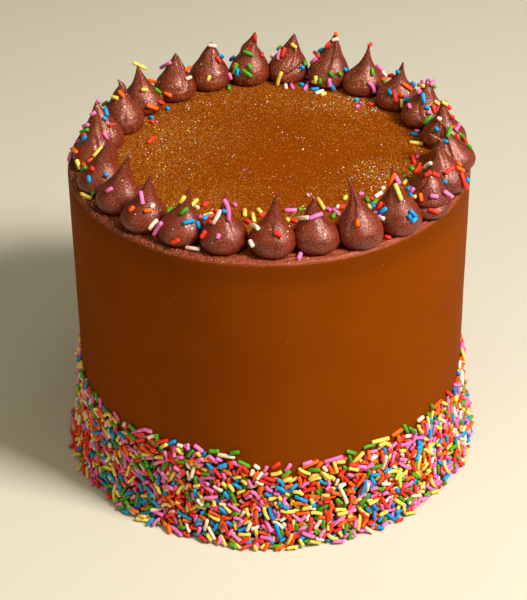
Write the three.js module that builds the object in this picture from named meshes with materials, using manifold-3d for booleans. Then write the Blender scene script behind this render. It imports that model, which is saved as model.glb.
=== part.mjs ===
// A tall round celebration cake under chocolate buttercream: a smooth upright side, a scraped top edge,
// a ring of piped dollops with pulled tips, and a deep band of rainbow sprinkles round the foot.
// Millimetres, +Z up. The origin is the middle of the flat underside. The front of the cake looks along -Y.

import * as THREE from "three";
import { mergeVertices } from "three/addons/utils/BufferGeometryUtils.js";
import Module from "manifold-3d";

const wasm = await Module();
wasm.setup();

const { degToRad, clamp } = THREE.MathUtils;

// The frosted body
const CAKE_RADIUS = 104;
const CAKE_HEIGHT = 170;
const BODY_SIDES = 72;
const EDGE_RADIUS = 2.4;

// The scraped lip round the top edge, highest where the ledge outside the dollops is widest
const LIP_HEIGHT = 0.7;
const LIP_WIDTH = 3.4;
const LIP_HIGH_SIDE = degToRad(205);

// The sprinkle band: its uneven top edge is lowest at the front and highest at the back, with a few
// rises and dips, each with its side in degrees, its height and its width in degrees
const BAND_HEIGHT_MEAN = 55.5;
const BAND_HEIGHT_SWING = 4.5;
const BAND_HEIGHT_WAVE = 1.2;
const BAND_LOW_SIDE = degToRad(275);
const BAND_RISES = [
  { side: 248, rise: 6, width: 18 },
  { side: 270, rise: -5.5, width: 10 },
  { side: 304, rise: 1.5, width: 8 },
  { side: 342, rise: -4.5, width: 12 },
  { side: 30, rise: 4, width: 20 },
  { side: 95, rise: -3.5, width: 16 },
  { side: 140, rise: 4.5, width: 18 },
];
const BAND_THICKNESS = 1.8;
const BAND_LUMP = 0.7;

// The heap at the foot: how far it reaches out, and what share of that is left at each height
const FOOT_FLARE = 8.8;
const FOOT_FLARE_WAVE = 1.3;
const FOOT_HEAP = [
  { height: 2.2, share: 0.88 },
  { height: 6.5, share: 0.62 },
  { height: 15, share: 0.38 },
];

// Sprinkles: straight rods with pointed ends, sunk in what they lie on. Only the longest are solid here.
const SPRINKLE_RADIUS = 1.05;
const SPRINKLE_SIDES = 5;
const SPRINKLE_TIP = 0.84;
const SPRINKLE_LONGEST = 11;
const SPRINKLE_SHORTEST = 7;
const SPRINKLE_SUNK = 0.35;
const BAND_SPRINKLES = 148;
const GOLDEN_ANGLE = Math.PI * (3 - Math.sqrt(5));

// Sprinkles lying on the flat top, inside the ring of dollops, and on the ledge outside it
const TOP_SPRINKLES = 9;
const TOP_SPRINKLE_REACH = [62, 68];
const LEDGE_SPRINKLES = 3;
const LEDGE_SPRINKLE_START = degToRad(186);
const LEDGE_SPRINKLE_STEP = degToRad(22);
const LEDGE_SPRINKLE_REACH = CAKE_RADIUS - 1.6;

// The ring of dollops
const RING_CENTRE = new THREE.Vector2(2.8, -2);
const RING_RADIUS = 90.2;
const RING_START = degToRad(270);
const DOLLOP_RADIUS = 11.5;
const DOLLOP_SIDES = 12;
const DOLLOP_ROWS = 7;
const TIP_BEND = 1.8;
const CLEARANCE = 0.3;

// Each dollop in turn, anticlockwise from the front: degrees off its even place, shift away from the
// ring's centre, height, and how far its pulled tip hangs over to the right and to the back. A blunt
// dollop keeps a share more of its radius in its upper part.
const DOLLOPS = [
  { turn: -1, out: -1.5, height: 31, tip: [2, -1] },
  { turn: -1.5, out: -2.5, height: 29, tip: [-4.5, 0] },
  { turn: -2.4, out: 0.5, height: 33, tip: [-5, 1] },
  { turn: -2.5, out: 1, height: 33, tip: [-3.5, 0], blunt: 0.05 },
  { turn: -3, out: 2, height: 22, tip: [0, 1], blunt: 0.34 },
  { turn: -2, out: 0.5, height: 30, tip: [-7, 1] },
  { turn: -2, out: 2, height: 26, tip: [-9, 0] },
  { turn: -1, out: 0, height: 24, tip: [-2, 0], blunt: 0.06 },
  { turn: 0.3, out: -2.5, height: 25, tip: [3, 2], blunt: 0.12 },
  { turn: 1.5, out: -2, height: 25, tip: [3, 0] },
  { turn: 2.8, out: 0.5, height: 26, tip: [2.5, 0] },
  { turn: 2, out: 0.5, height: 28.5, tip: [4, 1], blunt: 0.16 },
  { turn: 2, out: 2, height: 26, tip: [3.5, 0], blunt: 0.16 },
  { turn: 1.5, out: 0, height: 28, tip: [3.5, 0], blunt: 0.15 },
  { turn: 1, out: 0.5, height: 25.5, tip: [1, 1], blunt: 0.2 },
  { turn: 1, out: -1, height: 25, tip: [1, 0], blunt: 0.17 },
  { turn: 1, out: 0, height: 25.5, tip: [-2, 0], blunt: 0.05 },
  { turn: 1.6, out: -2.5, height: 28, tip: [-1, 1], blunt: 0.1 },
  { turn: 0, out: 0.5, height: 24, tip: [-3, 1], blunt: 0.16 },
  { turn: -1.5, out: 2, height: 25, tip: [2, 2], blunt: 0.1 },
  { turn: -0.5, out: 2, height: 26.5, tip: [6, 0], blunt: 0.08 },
  { turn: -1, out: 0.5, height: 28.5, tip: [6.5, 0], blunt: 0.06 },
  { turn: -1.3, out: 1, height: 27.5, tip: [4.5, 1], blunt: 0.06 },
  { turn: -1.8, out: -1, height: 27.5, tip: [5, 1] },
  { turn: -1.8, out: -2, height: 29, tip: [1.5, 0] },
];

// Half outline of a dollop: share of its radius, then share of its height
const DOLLOP_OUTLINE = new THREE.SplineCurve([
  new THREE.Vector2(0.78, 0),
  new THREE.Vector2(0.96, 0.08),
  new THREE.Vector2(1, 0.2),
  new THREE.Vector2(0.86, 0.34),
  new THREE.Vector2(0.4, 0.57),
  new THREE.Vector2(0.17, 0.79),
  new THREE.Vector2(0.05, 0.96),
]);
const BLUNT_FROM = 0.3;

// The sprinkle on each dollop: its place by share of the dollop's height, and how far it strays sideways
const DOLLOP_SPRINKLE_SHARE = [0.36, 0.46];
const DOLLOP_SPRINKLE_STRAY = 0.35;
const SLOPE_STEP = 0.04;

const frosting = new THREE.MeshStandardMaterial({ color: 0x763403, roughness: 0.55, metalness: 0 });
const dollopFrosting = new THREE.MeshStandardMaterial({ color: 0x6c290d, roughness: 0.45, metalness: 0 });

/** A repeatable source of numbers between two bounds. */
function seededRandom(seed) {
  let state = seed;
  return (low = 0, high = 1) => {
    state = (state * 1664525 + 1013904223) % 4294967296;
    return low + ((high - low) * state) / 4294967296;
  };
}

/** A wavy value from -1 to 1 round the cake, made of a few whole waves. */
function roundWave(angle, counts, phase) {
  const total = counts.reduce((sum, count, i) => sum + Math.sin(count * angle + phase * (i + 1)), 0);
  return total / counts.length;
}

/** A closed geometry as a solid: shared corners are merged and the slivers at the poles dropped. */
function toSolid(geometry) {
  const bare = geometry.clone();
  bare.deleteAttribute("normal");
  bare.deleteAttribute("uv");
  const merged = mergeVertices(bare, 1e-4);
  const corners = merged.index.array;
  const kept = [];
  for (let i = 0; i < corners.length; i += 3) {
    const [a, b, c] = corners.slice(i, i + 3);
    if (a !== b && b !== c && c !== a) {
      kept.push(a, b, c);
    }
  }
  return new wasm.Manifold(new wasm.Mesh({
    numProp: 3,
    vertProperties: new Float32Array(merged.attributes.position.array),
    triVerts: new Uint32Array(kept),
  }));
}

/** A named mesh from a solid. */
function toMesh(solid, name, material) {
  const { vertProperties, triVerts } = solid.getMesh();
  const geometry = new THREE.BufferGeometry();
  geometry.setAttribute("position", new THREE.BufferAttribute(new Float32Array(vertProperties), 3));
  geometry.setIndex(new THREE.BufferAttribute(new Uint32Array(triVerts), 1));
  geometry.computeVertexNormals();
  const mesh = new THREE.Mesh(geometry, material.clone());
  mesh.name = name;
  return mesh;
}

/** A solid with sprinkles fused to it. */
function withSprinkles(solid, sprinkles) {
  return sprinkles.reduce((joined, sprinkle) => joined.add(sprinkle), solid);
}

/** Height of the band's uneven top edge at an angle round the cake. */
function bandTop(angle) {
  const even = BAND_HEIGHT_MEAN - BAND_HEIGHT_SWING * Math.cos(angle - BAND_LOW_SIDE);
  const rises = BAND_RISES.reduce((sum, { side, rise, width }) => {
    const apart = angle - degToRad(side);
    const aside = Math.atan2(Math.sin(apart), Math.cos(apart)) / degToRad(width);
    return sum + rise * Math.exp(-(aside ** 2));
  }, 0);
  return even + rises + BAND_HEIGHT_WAVE * roundWave(angle, [7, 11, 17], 1.3);
}

/** How far the heaped sprinkles reach out at the foot. */
function footFlare(angle) {
  return FOOT_FLARE + FOOT_FLARE_WAVE * roundWave(angle, [5, 9, 13], 2.1);
}

/** How far a row of the heaped band stands in or out of its even outline. */
function bandLump(angle, row) {
  return BAND_LUMP * roundWave(angle, [11, 14, 18], 1.7 * row);
}

/** Height of the scraped lip above the flat top. */
function lipHeight(angle) {
  const share = 0.5 + 0.5 * Math.cos(angle - LIP_HIGH_SIDE);
  return LIP_HEIGHT * share ** 2 * (0.75 + 0.25 * roundWave(angle, [8, 13, 21], 0.7));
}

/** The body's outline at an angle, from the middle of the underside to the middle of the top. */
function bodyOutline(angle) {
  const flare = footFlare(angle);
  const top = bandTop(angle);
  const heap = FOOT_HEAP.map(({ height, share }, row) => [
    CAKE_RADIUS + flare * share + bandLump(angle, row) * (row ? 1 : 0.5),
    height,
  ]);
  return [
    [0, 0],
    [CAKE_RADIUS + flare, 0],
    ...heap,
    [CAKE_RADIUS + BAND_THICKNESS + bandLump(angle, 3), top * 0.58],
    [CAKE_RADIUS + BAND_THICKNESS * 0.6 + bandLump(angle, 4) / 2, top - 4],
    [CAKE_RADIUS, top],
    [CAKE_RADIUS, CAKE_HEIGHT - EDGE_RADIUS],
    [CAKE_RADIUS - EDGE_RADIUS * 0.3, CAKE_HEIGHT - EDGE_RADIUS * 0.3],
    [CAKE_RADIUS - EDGE_RADIUS * 0.8, CAKE_HEIGHT + lipHeight(angle)],
    [CAKE_RADIUS - LIP_WIDTH, CAKE_HEIGHT],
    [0, CAKE_HEIGHT],
  ].map(([radius, height]) => new THREE.Vector2(radius, height));
}

/** The frosted body, turned on a lathe and then given its uneven band and lip. */
function bodySolid() {
  const rows = bodyOutline(0).length;
  const geometry = new THREE.LatheGeometry(bodyOutline(0), BODY_SIDES).rotateX(Math.PI / 2);
  const position = geometry.attributes.position;
  for (let i = 0; i < position.count; i++) {
    const column = Math.floor(i / rows) % BODY_SIDES;
    const angle = (column / BODY_SIDES) * 2 * Math.PI - Math.PI / 2;
    const place = bodyOutline(angle)[i % rows];
    position.setXYZ(i, place.x * Math.cos(angle), place.x * Math.sin(angle), place.y);
  }
  return toSolid(geometry);
}

/** A sprinkle of a length, its middle at a point, lying along one direction. */
function sprinkleSolid(length, middle, direction) {
  const rod = [
    new THREE.Vector2(0, -length / 2),
    new THREE.Vector2(SPRINKLE_RADIUS, SPRINKLE_TIP - length / 2),
    new THREE.Vector2(SPRINKLE_RADIUS, length / 2 - SPRINKLE_TIP),
    new THREE.Vector2(0, length / 2),
  ];
  const geometry = new THREE.LatheGeometry(rod, SPRINKLE_SIDES);
  const turn = new THREE.Quaternion().setFromUnitVectors(new THREE.Vector3(0, 1, 0), direction);
  geometry.applyQuaternion(turn).translate(middle.x, middle.y, middle.z);
  return toSolid(geometry);
}

/** A sprinkle sunk in a surface at a point, turned by an angle within the surface. */
function sprinkleOn({ point, normal, uphill }, turn, length) {
  const across = new THREE.Vector3().crossVectors(uphill, normal).normalize();
  const direction = across.multiplyScalar(Math.cos(turn)).addScaledVector(uphill, Math.sin(turn));
  const middle = point.clone().addScaledVector(normal, SPRINKLE_RADIUS * (1 - 2 * SPRINKLE_SUNK));
  return sprinkleSolid(length, middle, direction.normalize());
}

/** The band's surface at an angle and a height: the point, its outward normal and the way uphill. */
function bandSurface(angle, height) {
  const outline = bodyOutline(angle);
  const row = outline.findIndex((corner, i) => i > 0 && outline[i + 1].y >= height);
  const [low, high] = [outline[row], outline[row + 1]];
  const radius = THREE.MathUtils.mapLinear(height, low.y, high.y, low.x, high.x);
  const slope = new THREE.Vector2(high.x - low.x, high.y - low.y).normalize();
  const outward = new THREE.Vector3(Math.cos(angle), Math.sin(angle), 0);
  const upward = new THREE.Vector3(0, 0, 1);
  return {
    point: outward.clone().multiplyScalar(radius).setZ(height),
    normal: outward.clone().multiplyScalar(slope.y).addScaledVector(upward, -slope.x),
    uphill: outward.clone().multiplyScalar(slope.x).addScaledVector(upward, slope.y),
  };
}

/** Sprinkles spread evenly over the band by the golden angle, none of them reaching past its edges. */
function bandSprinkles() {
  const random = seededRandom(7);
  return Array.from({ length: BAND_SPRINKLES }, (unused, i) => {
    const angle = i * GOLDEN_ANGLE;
    const lowest = 1.5 * SPRINKLE_RADIUS;
    const highest = bandTop(angle) - 2 * SPRINKLE_RADIUS;
    const height = lowest + ((highest - lowest) * (i + 0.5)) / BAND_SPRINKLES;
    const length = random(SPRINKLE_SHORTEST, SPRINKLE_LONGEST);
    const room = Math.min(height, highest + SPRINKLE_RADIUS - height) - SPRINKLE_RADIUS / 2;
    const steepest = Math.asin(Math.min(1, room / (length / 2)));
    return sprinkleOn(bandSurface(angle, height), steepest * random(-1, 1), length);
  });
}

/** A level place on the cake's top at a reach and an angle. */
function topSurface(reach, angle, rise = 0) {
  const outward = new THREE.Vector3(Math.cos(angle), Math.sin(angle), 0);
  const point = outward.clone().multiplyScalar(reach).setZ(CAKE_HEIGHT + rise);
  return { point, normal: new THREE.Vector3(0, 0, 1), uphill: outward };
}

/** A few sprinkles lying flat on the top, inside the ring of dollops and on the ledge outside it. */
function topSprinkles() {
  const random = seededRandom(23);
  const inside = Array.from({ length: TOP_SPRINKLES }, (unused, i) => {
    const angle = ((i + random(0, 0.6)) / TOP_SPRINKLES) * 2 * Math.PI;
    const place = topSurface(random(...TOP_SPRINKLE_REACH), angle);
    return sprinkleOn(place, random(0, Math.PI), random(SPRINKLE_SHORTEST, SPRINKLE_LONGEST));
  });
  const onLedge = Array.from({ length: LEDGE_SPRINKLES }, (unused, i) => {
    const angle = LEDGE_SPRINKLE_START + LEDGE_SPRINKLE_STEP * i;
    return sprinkleOn(topSurface(LEDGE_SPRINKLE_REACH, angle, lipHeight(angle)), 0, SPRINKLE_SHORTEST);
  });
  return inside.concat(onLedge);
}

/** Where a dollop stands, from its row in the list. */
function dollopCentre(index) {
  const { turn, out } = DOLLOPS[(index + DOLLOPS.length) % DOLLOPS.length];
  const angle = RING_START + (index / DOLLOPS.length) * 2 * Math.PI + degToRad(turn);
  const place = new THREE.Vector2(Math.cos(angle), Math.sin(angle));
  return place.multiplyScalar(RING_RADIUS + out).add(RING_CENTRE);
}

/** A dollop's outline: rows evenly along its curve, closed on the axis at its foot and its tip. */
function dollopOutline({ height, blunt = 0 }) {
  const rows = DOLLOP_OUTLINE.getPoints(DOLLOP_ROWS - 1).map(({ x, y }) => {
    const upper = clamp((y - BLUNT_FROM) / (1 - BLUNT_FROM), 0, 1);
    return new THREE.Vector2(DOLLOP_RADIUS * (x + blunt * Math.sin(Math.PI * upper)), height * y);
  });
  return [new THREE.Vector2(0, 0), ...rows, new THREE.Vector2(0, height)];
}

/** How far the middle of a dollop has moved aside at a share of its height. */
function dollopLean({ tip }, share) {
  return new THREE.Vector2(...tip).multiplyScalar(Math.max(0, share) ** TIP_BEND);
}

/** A point kept on its own side of the plane halfway between a dollop and a neighbour. */
function keepFromNeighbour(point, centre, neighbour) {
  const apart = neighbour.clone().sub(centre);
  const limit = (apart.length() - CLEARANCE) / 2;
  const direction = apart.normalize();
  const beyond = Math.max(0, point.clone().sub(centre).dot(direction) - limit);
  return point.clone().addScaledVector(direction, -beyond);
}

/** A dollop: a lathe form bent towards its tip and flattened where it meets its neighbours. */
function dollopSolid(index) {
  const shape = DOLLOPS[index];
  const centre = dollopCentre(index);
  const geometry = new THREE.LatheGeometry(dollopOutline(shape), DOLLOP_SIDES).rotateX(Math.PI / 2);
  const position = geometry.attributes.position;
  for (let i = 0; i < position.count; i++) {
    const height = position.getZ(i);
    const upright = new THREE.Vector2(position.getX(i), position.getY(i)).add(centre);
    const bent = upright.add(dollopLean(shape, height / shape.height));
    const place = [dollopCentre(index - 1), dollopCentre(index + 1)].reduce(
      (point, neighbour) => keepFromNeighbour(point, centre, neighbour),
      bent,
    );
    position.setXYZ(i, place.x, place.y, CAKE_HEIGHT + CLEARANCE + height);
  }
  return toSolid(geometry);
}

/** A point on a dollop's surface at an angle about its middle and a share of its height. */
function dollopPoint(index, angle, share) {
  const shape = DOLLOPS[index];
  const outline = dollopOutline(shape);
  const height = share * shape.height;
  const row = outline.findIndex((corner, i) => i > 0 && outline[i + 1].y > height);
  const [low, high] = [outline[row], outline[row + 1]];
  const radius = THREE.MathUtils.mapLinear(height, low.y, high.y, low.x, high.x);
  const middle = dollopCentre(index).add(dollopLean(shape, share));
  const place = middle.add(new THREE.Vector2(Math.cos(angle), Math.sin(angle)).multiplyScalar(radius));
  return new THREE.Vector3(place.x, place.y, CAKE_HEIGHT + CLEARANCE + height);
}

/** One sprinkle on a dollop, on its outer face or its inner face in turn, clear of its neighbours. */
function dollopSprinkle(index, random) {
  const fromRing = dollopCentre(index).sub(RING_CENTRE);
  const face = fromRing.angle() + (index % 2) * Math.PI;
  const angle = face + random(-DOLLOP_SPRINKLE_STRAY, DOLLOP_SPRINKLE_STRAY);
  const share = random(...DOLLOP_SPRINKLE_SHARE);
  const low = dollopPoint(index, angle, share - SLOPE_STEP);
  const high = dollopPoint(index, angle, share + SLOPE_STEP);
  const uphill = high.clone().sub(low).normalize();
  const sideways = new THREE.Vector3(-Math.sin(angle), Math.cos(angle), 0);
  const normal = new THREE.Vector3().crossVectors(sideways, uphill).normalize();
  const surface = { point: low.lerp(high, 0.5), normal, uphill };
  return sprinkleOn(surface, random(0.2, 0.8) * Math.PI, SPRINKLE_SHORTEST);
}

const cake = new THREE.Group();
cake.add(toMesh(withSprinkles(bodySolid(), [...bandSprinkles(), ...topSprinkles()]), "cake", frosting));

const dollopRandom = seededRandom(41);
DOLLOPS.forEach((shape, index) => {
  const name = `dollop_${String(index + 1).padStart(2, "0")}`;
  const solid = withSprinkles(dollopSolid(index), [dollopSprinkle(index, dollopRandom)]);
  cake.add(toMesh(solid, name, dollopFrosting));
});

export default cake;
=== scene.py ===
"""Dresses the rainbow cake: buttercream, piped dollops, sugar sprinkles and gold dust.

Metres, +Z up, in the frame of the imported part: the cake stands on z = 0 and its front looks along -Y.
"""

import logging
import math
from collections import defaultdict
from collections.abc import Callable, Iterable
from dataclasses import dataclass, field
from enum import Enum
from typing import NamedTuple

import bmesh
import bpy
import numpy as np
from mathutils import Matrix, Vector
from mathutils.bvhtree import BVHTree


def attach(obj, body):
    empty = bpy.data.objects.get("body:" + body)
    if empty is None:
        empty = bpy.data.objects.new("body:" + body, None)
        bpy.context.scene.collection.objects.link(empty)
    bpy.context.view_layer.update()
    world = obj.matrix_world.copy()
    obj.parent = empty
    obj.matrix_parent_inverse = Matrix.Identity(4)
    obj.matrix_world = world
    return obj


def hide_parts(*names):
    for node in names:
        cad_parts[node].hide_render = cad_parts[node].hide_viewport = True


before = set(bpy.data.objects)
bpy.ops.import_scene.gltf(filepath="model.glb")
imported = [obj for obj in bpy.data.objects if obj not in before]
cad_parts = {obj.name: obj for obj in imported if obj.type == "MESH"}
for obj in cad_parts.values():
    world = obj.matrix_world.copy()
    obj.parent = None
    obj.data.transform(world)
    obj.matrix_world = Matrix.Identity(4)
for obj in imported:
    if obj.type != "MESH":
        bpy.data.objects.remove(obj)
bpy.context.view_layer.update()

MM = 0.001

log = logging.getLogger("rainbow_cake")


# ---------------------------------------------------------------- working by hand, in code


def deselect_all() -> None:
    """Leaves nothing selected, so that the next operator acts on its own piece alone."""
    bpy.ops.object.select_all(action="DESELECT")


def work_on(piece: bpy.types.Object) -> None:
    """Makes a piece the only selected object and the active one.

    Args:
        piece: the object to work on.
    """
    deselect_all()
    piece.select_set(True)
    bpy.context.view_layer.objects.active = piece


def pick_edges(piece: bpy.types.Object, wanted: Callable[[bmesh.types.BMEdge], bool]) -> None:
    """Selects the edges of a piece in edit mode that pass a test, and nothing else.

    Args:
        piece: the object in edit mode.
        wanted: the test on an edge.
    """
    bpy.ops.mesh.select_mode(type="EDGE")
    bpy.ops.mesh.select_all(action="DESELECT")
    mesh = bmesh.from_edit_mesh(piece.data)
    for edge in mesh.edges:
        edge.select_set(wanted(edge))
    bmesh.update_edit_mesh(piece.data)


def pick_faces(piece: bpy.types.Object, wanted: Callable[[bmesh.types.BMFace], bool]) -> None:
    """Selects the faces of a piece in edit mode that pass a test, and nothing else.

    Args:
        piece: the object in edit mode.
        wanted: the test on a face.
    """
    bpy.ops.mesh.select_mode(type="FACE")
    bpy.ops.mesh.select_all(action="DESELECT")
    mesh = bmesh.from_edit_mesh(piece.data)
    for face in mesh.faces:
        face.select_set(wanted(face))
    bmesh.update_edit_mesh(piece.data)


def spun(name: str, outline: np.ndarray, steps: int) -> bpy.types.Object:
    """Draws a half outline point by point and spins it round the Z axis into a closed form.

    Args:
        name: the piece's name.
        outline: rows of (radius, height), from the axis to the axis.
        steps: the number of columns round.

    Returns:
        The new object, smooth-shaded, its faces pointing outwards.
    """
    deselect_all()
    bpy.ops.mesh.primitive_plane_add(size=MM)
    piece = bpy.context.object
    piece.name = name
    bpy.ops.object.mode_set(mode="EDIT")
    bpy.ops.mesh.select_all(action="SELECT")
    bpy.ops.mesh.merge(type="CENTER")
    bpy.ops.transform.translate(value=(outline[0][0], 0, outline[0][1]))
    for aside, up in np.diff(outline, axis=0):
        bpy.ops.mesh.extrude_vertices_move(TRANSFORM_OT_translate={"value": (aside, 0, up)})
    bpy.ops.mesh.select_all(action="SELECT")
    bpy.ops.mesh.spin(steps=steps, angle=2 * math.pi, center=(0, 0, 0), axis=(0, 0, 1))
    bpy.ops.mesh.select_all(action="SELECT")
    bpy.ops.mesh.remove_doubles(threshold=0.001 * MM)
    bpy.ops.mesh.normals_make_consistent(inside=False)
    bpy.ops.object.mode_set(mode="OBJECT")
    bpy.ops.object.shade_smooth()
    return piece


def points_of(mesh: bpy.types.Mesh) -> np.ndarray:
    """The places of a mesh's points, as rows of x, y and z."""
    flat = np.empty(len(mesh.vertices) * 3)
    mesh.vertices.foreach_get("co", flat)
    return flat.reshape(-1, 3)


def move_points(mesh: bpy.types.Mesh, places: np.ndarray) -> None:
    """Puts a mesh's points at new places."""
    mesh.vertices.foreach_set("co", places.astype(np.float32).ravel())
    mesh.update()


def write_attribute(mesh: bpy.types.Mesh, name: str, values: np.ndarray) -> None:
    """Keeps one number a point on a mesh, for its material to read.

    Args:
        mesh: the mesh.
        name: the attribute's name.
        values: one number for each point.
    """
    layer = mesh.attributes.new(name, "FLOAT", "POINT")
    layer.data.foreach_set("value", values.astype(np.float32))


def rows_matched(points: np.ndarray, outline: np.ndarray) -> np.ndarray:
    """Finds which row of its outline each point of a spun form came from.

    Args:
        points: the form's points.
        outline: the rows of (radius, height) that were spun.

    Returns:
        The row's number for each point.
    """
    flat = np.stack([np.hypot(points[:, 0], points[:, 1]), points[:, 2]], -1)
    apart = ((flat[:, None, :] - outline[None, :, :]) ** 2).sum(-1)
    return apart.argmin(1)


def smooth_step(value: np.ndarray, low: float, high: float) -> np.ndarray:
    """A soft step from 0 at low to 1 at high."""
    share = np.clip((np.asarray(value) - low) / (high - low), 0, 1)
    return share * share * (3 - 2 * share)


def round_wave(angle: np.ndarray, counts: Iterable[int], phase: float) -> np.ndarray:
    """A wavy value from -1 to 1 round the cake, made of a few whole waves.

    Args:
        angle: the angle round the cake.
        counts: how many whole waves each part has.
        phase: where the first part starts.

    Returns:
        The mean of the waves at each angle.
    """
    waves = [np.sin(count * angle + phase * (i + 1)) for i, count in enumerate(counts)]
    return sum(waves) / len(waves)


def turned_from(angle: np.ndarray, side: np.ndarray) -> np.ndarray:
    """How far an angle is turned from a side, the short way round."""
    return np.angle(np.exp(1j * (angle - side)))


def unit(vector: np.ndarray) -> np.ndarray:
    """A vector of length one, along the last axis."""
    return vector / np.linalg.norm(vector, axis=-1, keepdims=True)


@dataclass(frozen=True)
class Unevenness:
    """Smooth random unevenness: many small waves that cross in every direction."""

    seed: int
    shortest: float
    longest: float
    waves: int = 56

    def at(self, points: np.ndarray) -> np.ndarray:
        """Its value at some points.

        Args:
            points: rows of x, y and z.

        Returns:
            One number a point, about 0 and seldom past 2 either way.
        """
        random = np.random.default_rng(self.seed)
        directions = unit(random.normal(size=(self.waves, 3)))
        lengths = random.uniform(self.shortest, self.longest, self.waves)
        starts = random.uniform(0, 2 * math.pi, self.waves)
        phase = points @ (directions * (2 * math.pi / lengths)[:, None]).T + starts
        return np.sin(phase).sum(1) / math.sqrt(self.waves / 2)


# ---------------------------------------------------------------- finishes


class Recipe:
    """A material's node tree, laid out one node at a time."""

    def __init__(self, name: str) -> None:
        """Starts an empty material with one surface shader."""
        self.material = bpy.data.materials.new(name)
        self.material.use_nodes = True
        self.tree = self.material.node_tree
        self.tree.nodes.clear()
        self.shader = self.tree.nodes.new("ShaderNodeBsdfPrincipled")
        output = self.tree.nodes.new("ShaderNodeOutputMaterial")
        self.tree.links.new(self.shader.outputs["BSDF"], output.inputs["Surface"])
        self.place = self.tree.nodes.new("ShaderNodeTexCoord").outputs["Object"]

    def node(self, kind: str, inputs: dict | None = None, **settings: object) -> bpy.types.Node:
        """Adds a node.

        Args:
            kind: the node's type, without its ShaderNode prefix.
            inputs: a value or an output for each named or numbered input.
            settings: the node's own properties.

        Returns:
            The new node.
        """
        made = self.tree.nodes.new("ShaderNode" + kind)
        for name, value in settings.items():
            setattr(made, name, value)
        for socket, value in (inputs or {}).items():
            self.feed(made.inputs[socket], value)
        return made

    def feed(self, socket: bpy.types.NodeSocket, value: object) -> None:
        """Links an output to a socket, or sets the socket's own value."""
        if isinstance(value, bpy.types.NodeSocket):
            self.tree.links.new(value, socket)
        else:
            socket.default_value = value

    def surface(self, inputs: dict[str, object]) -> None:
        """Feeds a value or an output to each named input of the surface shader."""
        for name, value in inputs.items():
            self.feed(self.shader.inputs[name], value)

    def attribute(self, name: str) -> bpy.types.NodeSocket:
        """A number kept on the mesh's points."""
        return self.node("Attribute", attribute_name=name).outputs["Fac"]

    def noise(self, size: float, detail: float = 2.0, place: object = None) -> bpy.types.NodeSocket:
        """Soft noise.

        Args:
            size: the size of its patches, in metres.
            detail: how many finer layers it has.
            place: where it is read, or the object's own coordinates.

        Returns:
            The noise's value, about 0.5.
        """
        inputs = {"Vector": place or self.place, "Scale": 1 / size, "Detail": detail}
        return self.node("TexNoise", inputs).outputs["Fac"]

    def math(self, operation: str, *values: object) -> bpy.types.NodeSocket:
        """One step of arithmetic on numbers or outputs."""
        inputs = dict(enumerate(values))
        return self.node("Math", inputs, operation=operation).outputs[0]

    def ranged(self, value: object, low: float, high: float, to_low: float, to_high: float) -> object:
        """A value carried from one range to another, held at both ends."""
        inputs = {"Value": value, "From Min": low, "From Max": high, "To Min": to_low, "To Max": to_high}
        return self.node("MapRange", inputs).outputs["Result"]

    def mixed(self, share: object, first: object, second: object) -> bpy.types.NodeSocket:
        """Two colours mixed by a share.

        Args:
            share: how much of the second there is.
            first: a colour or an output.
            second: a colour or an output.

        Returns:
            The mixed colour.
        """
        made = self.node("Mix", data_type="RGBA")
        colours = [socket for socket in made.inputs if socket.type == "RGBA"]
        self.feed(made.inputs["Factor"], share)
        self.feed(colours[0], first)
        self.feed(colours[1], second)
        return next(socket for socket in made.outputs if socket.type == "RGBA")

    def specks(self, size: float, density: object) -> tuple[object, object]:
        """Tiny round specks, as many as a density asks.

        Args:
            size: the distance between their possible places, in metres.
            density: the share of those places that hold a speck.

        Returns:
            Two outputs: 1 on a speck and 0 elsewhere, and each speck's own number.
        """
        cells = self.node("TexVoronoi", {"Vector": self.place, "Scale": 1 / size})
        drawn = self.node("SeparateColor", {"Color": cells.outputs["Color"]})
        held = self.math("LESS_THAN", drawn.outputs[0], density)
        near = self.ranged(cells.outputs["Distance"], 0.5, 0.36, 0.0, 1.0)
        return self.math("MULTIPLY", held, near), drawn.outputs[1]

    def bump(self, height: object, strength: float, distance: float, under: object = None) -> object:
        """A bump from a height, laid over another one.

        Args:
            height: the height's output.
            strength: how much of it shows.
            distance: how high it stands, in metres.
            under: the bump that it lies on.

        Returns:
            The normal.
        """
        inputs = {"Height": height, "Strength": strength, "Distance": distance}
        if under is not None:
            inputs["Normal"] = under
        return self.node("Bump", inputs).outputs["Normal"]


Colour = tuple[float, float, float, float]


@dataclass(frozen=True)
class GoldDust:
    """The fine edible gold that lies on a buttercream."""

    pale: Colour = (0.78, 0.35, 0.05, 1)
    deep: Colour = (0.04, 0.008, 0.001, 1)
    speck: float = 0.56 * MM
    deepest: float = 0.6
    paler_where_thick: float = 0.55

    def over(self, recipe: Recipe, base: object, density: object) -> tuple[object, object]:
        """Lays the dust over a colour.

        Args:
            recipe: the material's recipe.
            base: the colour under it.
            density: the share of the surface's specks that are gold.

        Returns:
            The colour with the dust, and where the dust lies.
        """
        specks, own = recipe.specks(self.speck, density)
        tone = recipe.math("ADD", own, recipe.math("MULTIPLY", density, self.paler_where_thick))
        gold = recipe.mixed(recipe.ranged(tone, self.deepest, 1.0, 0.0, 1.0), self.deep, self.pale)
        return recipe.mixed(specks, base, gold), specks


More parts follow.
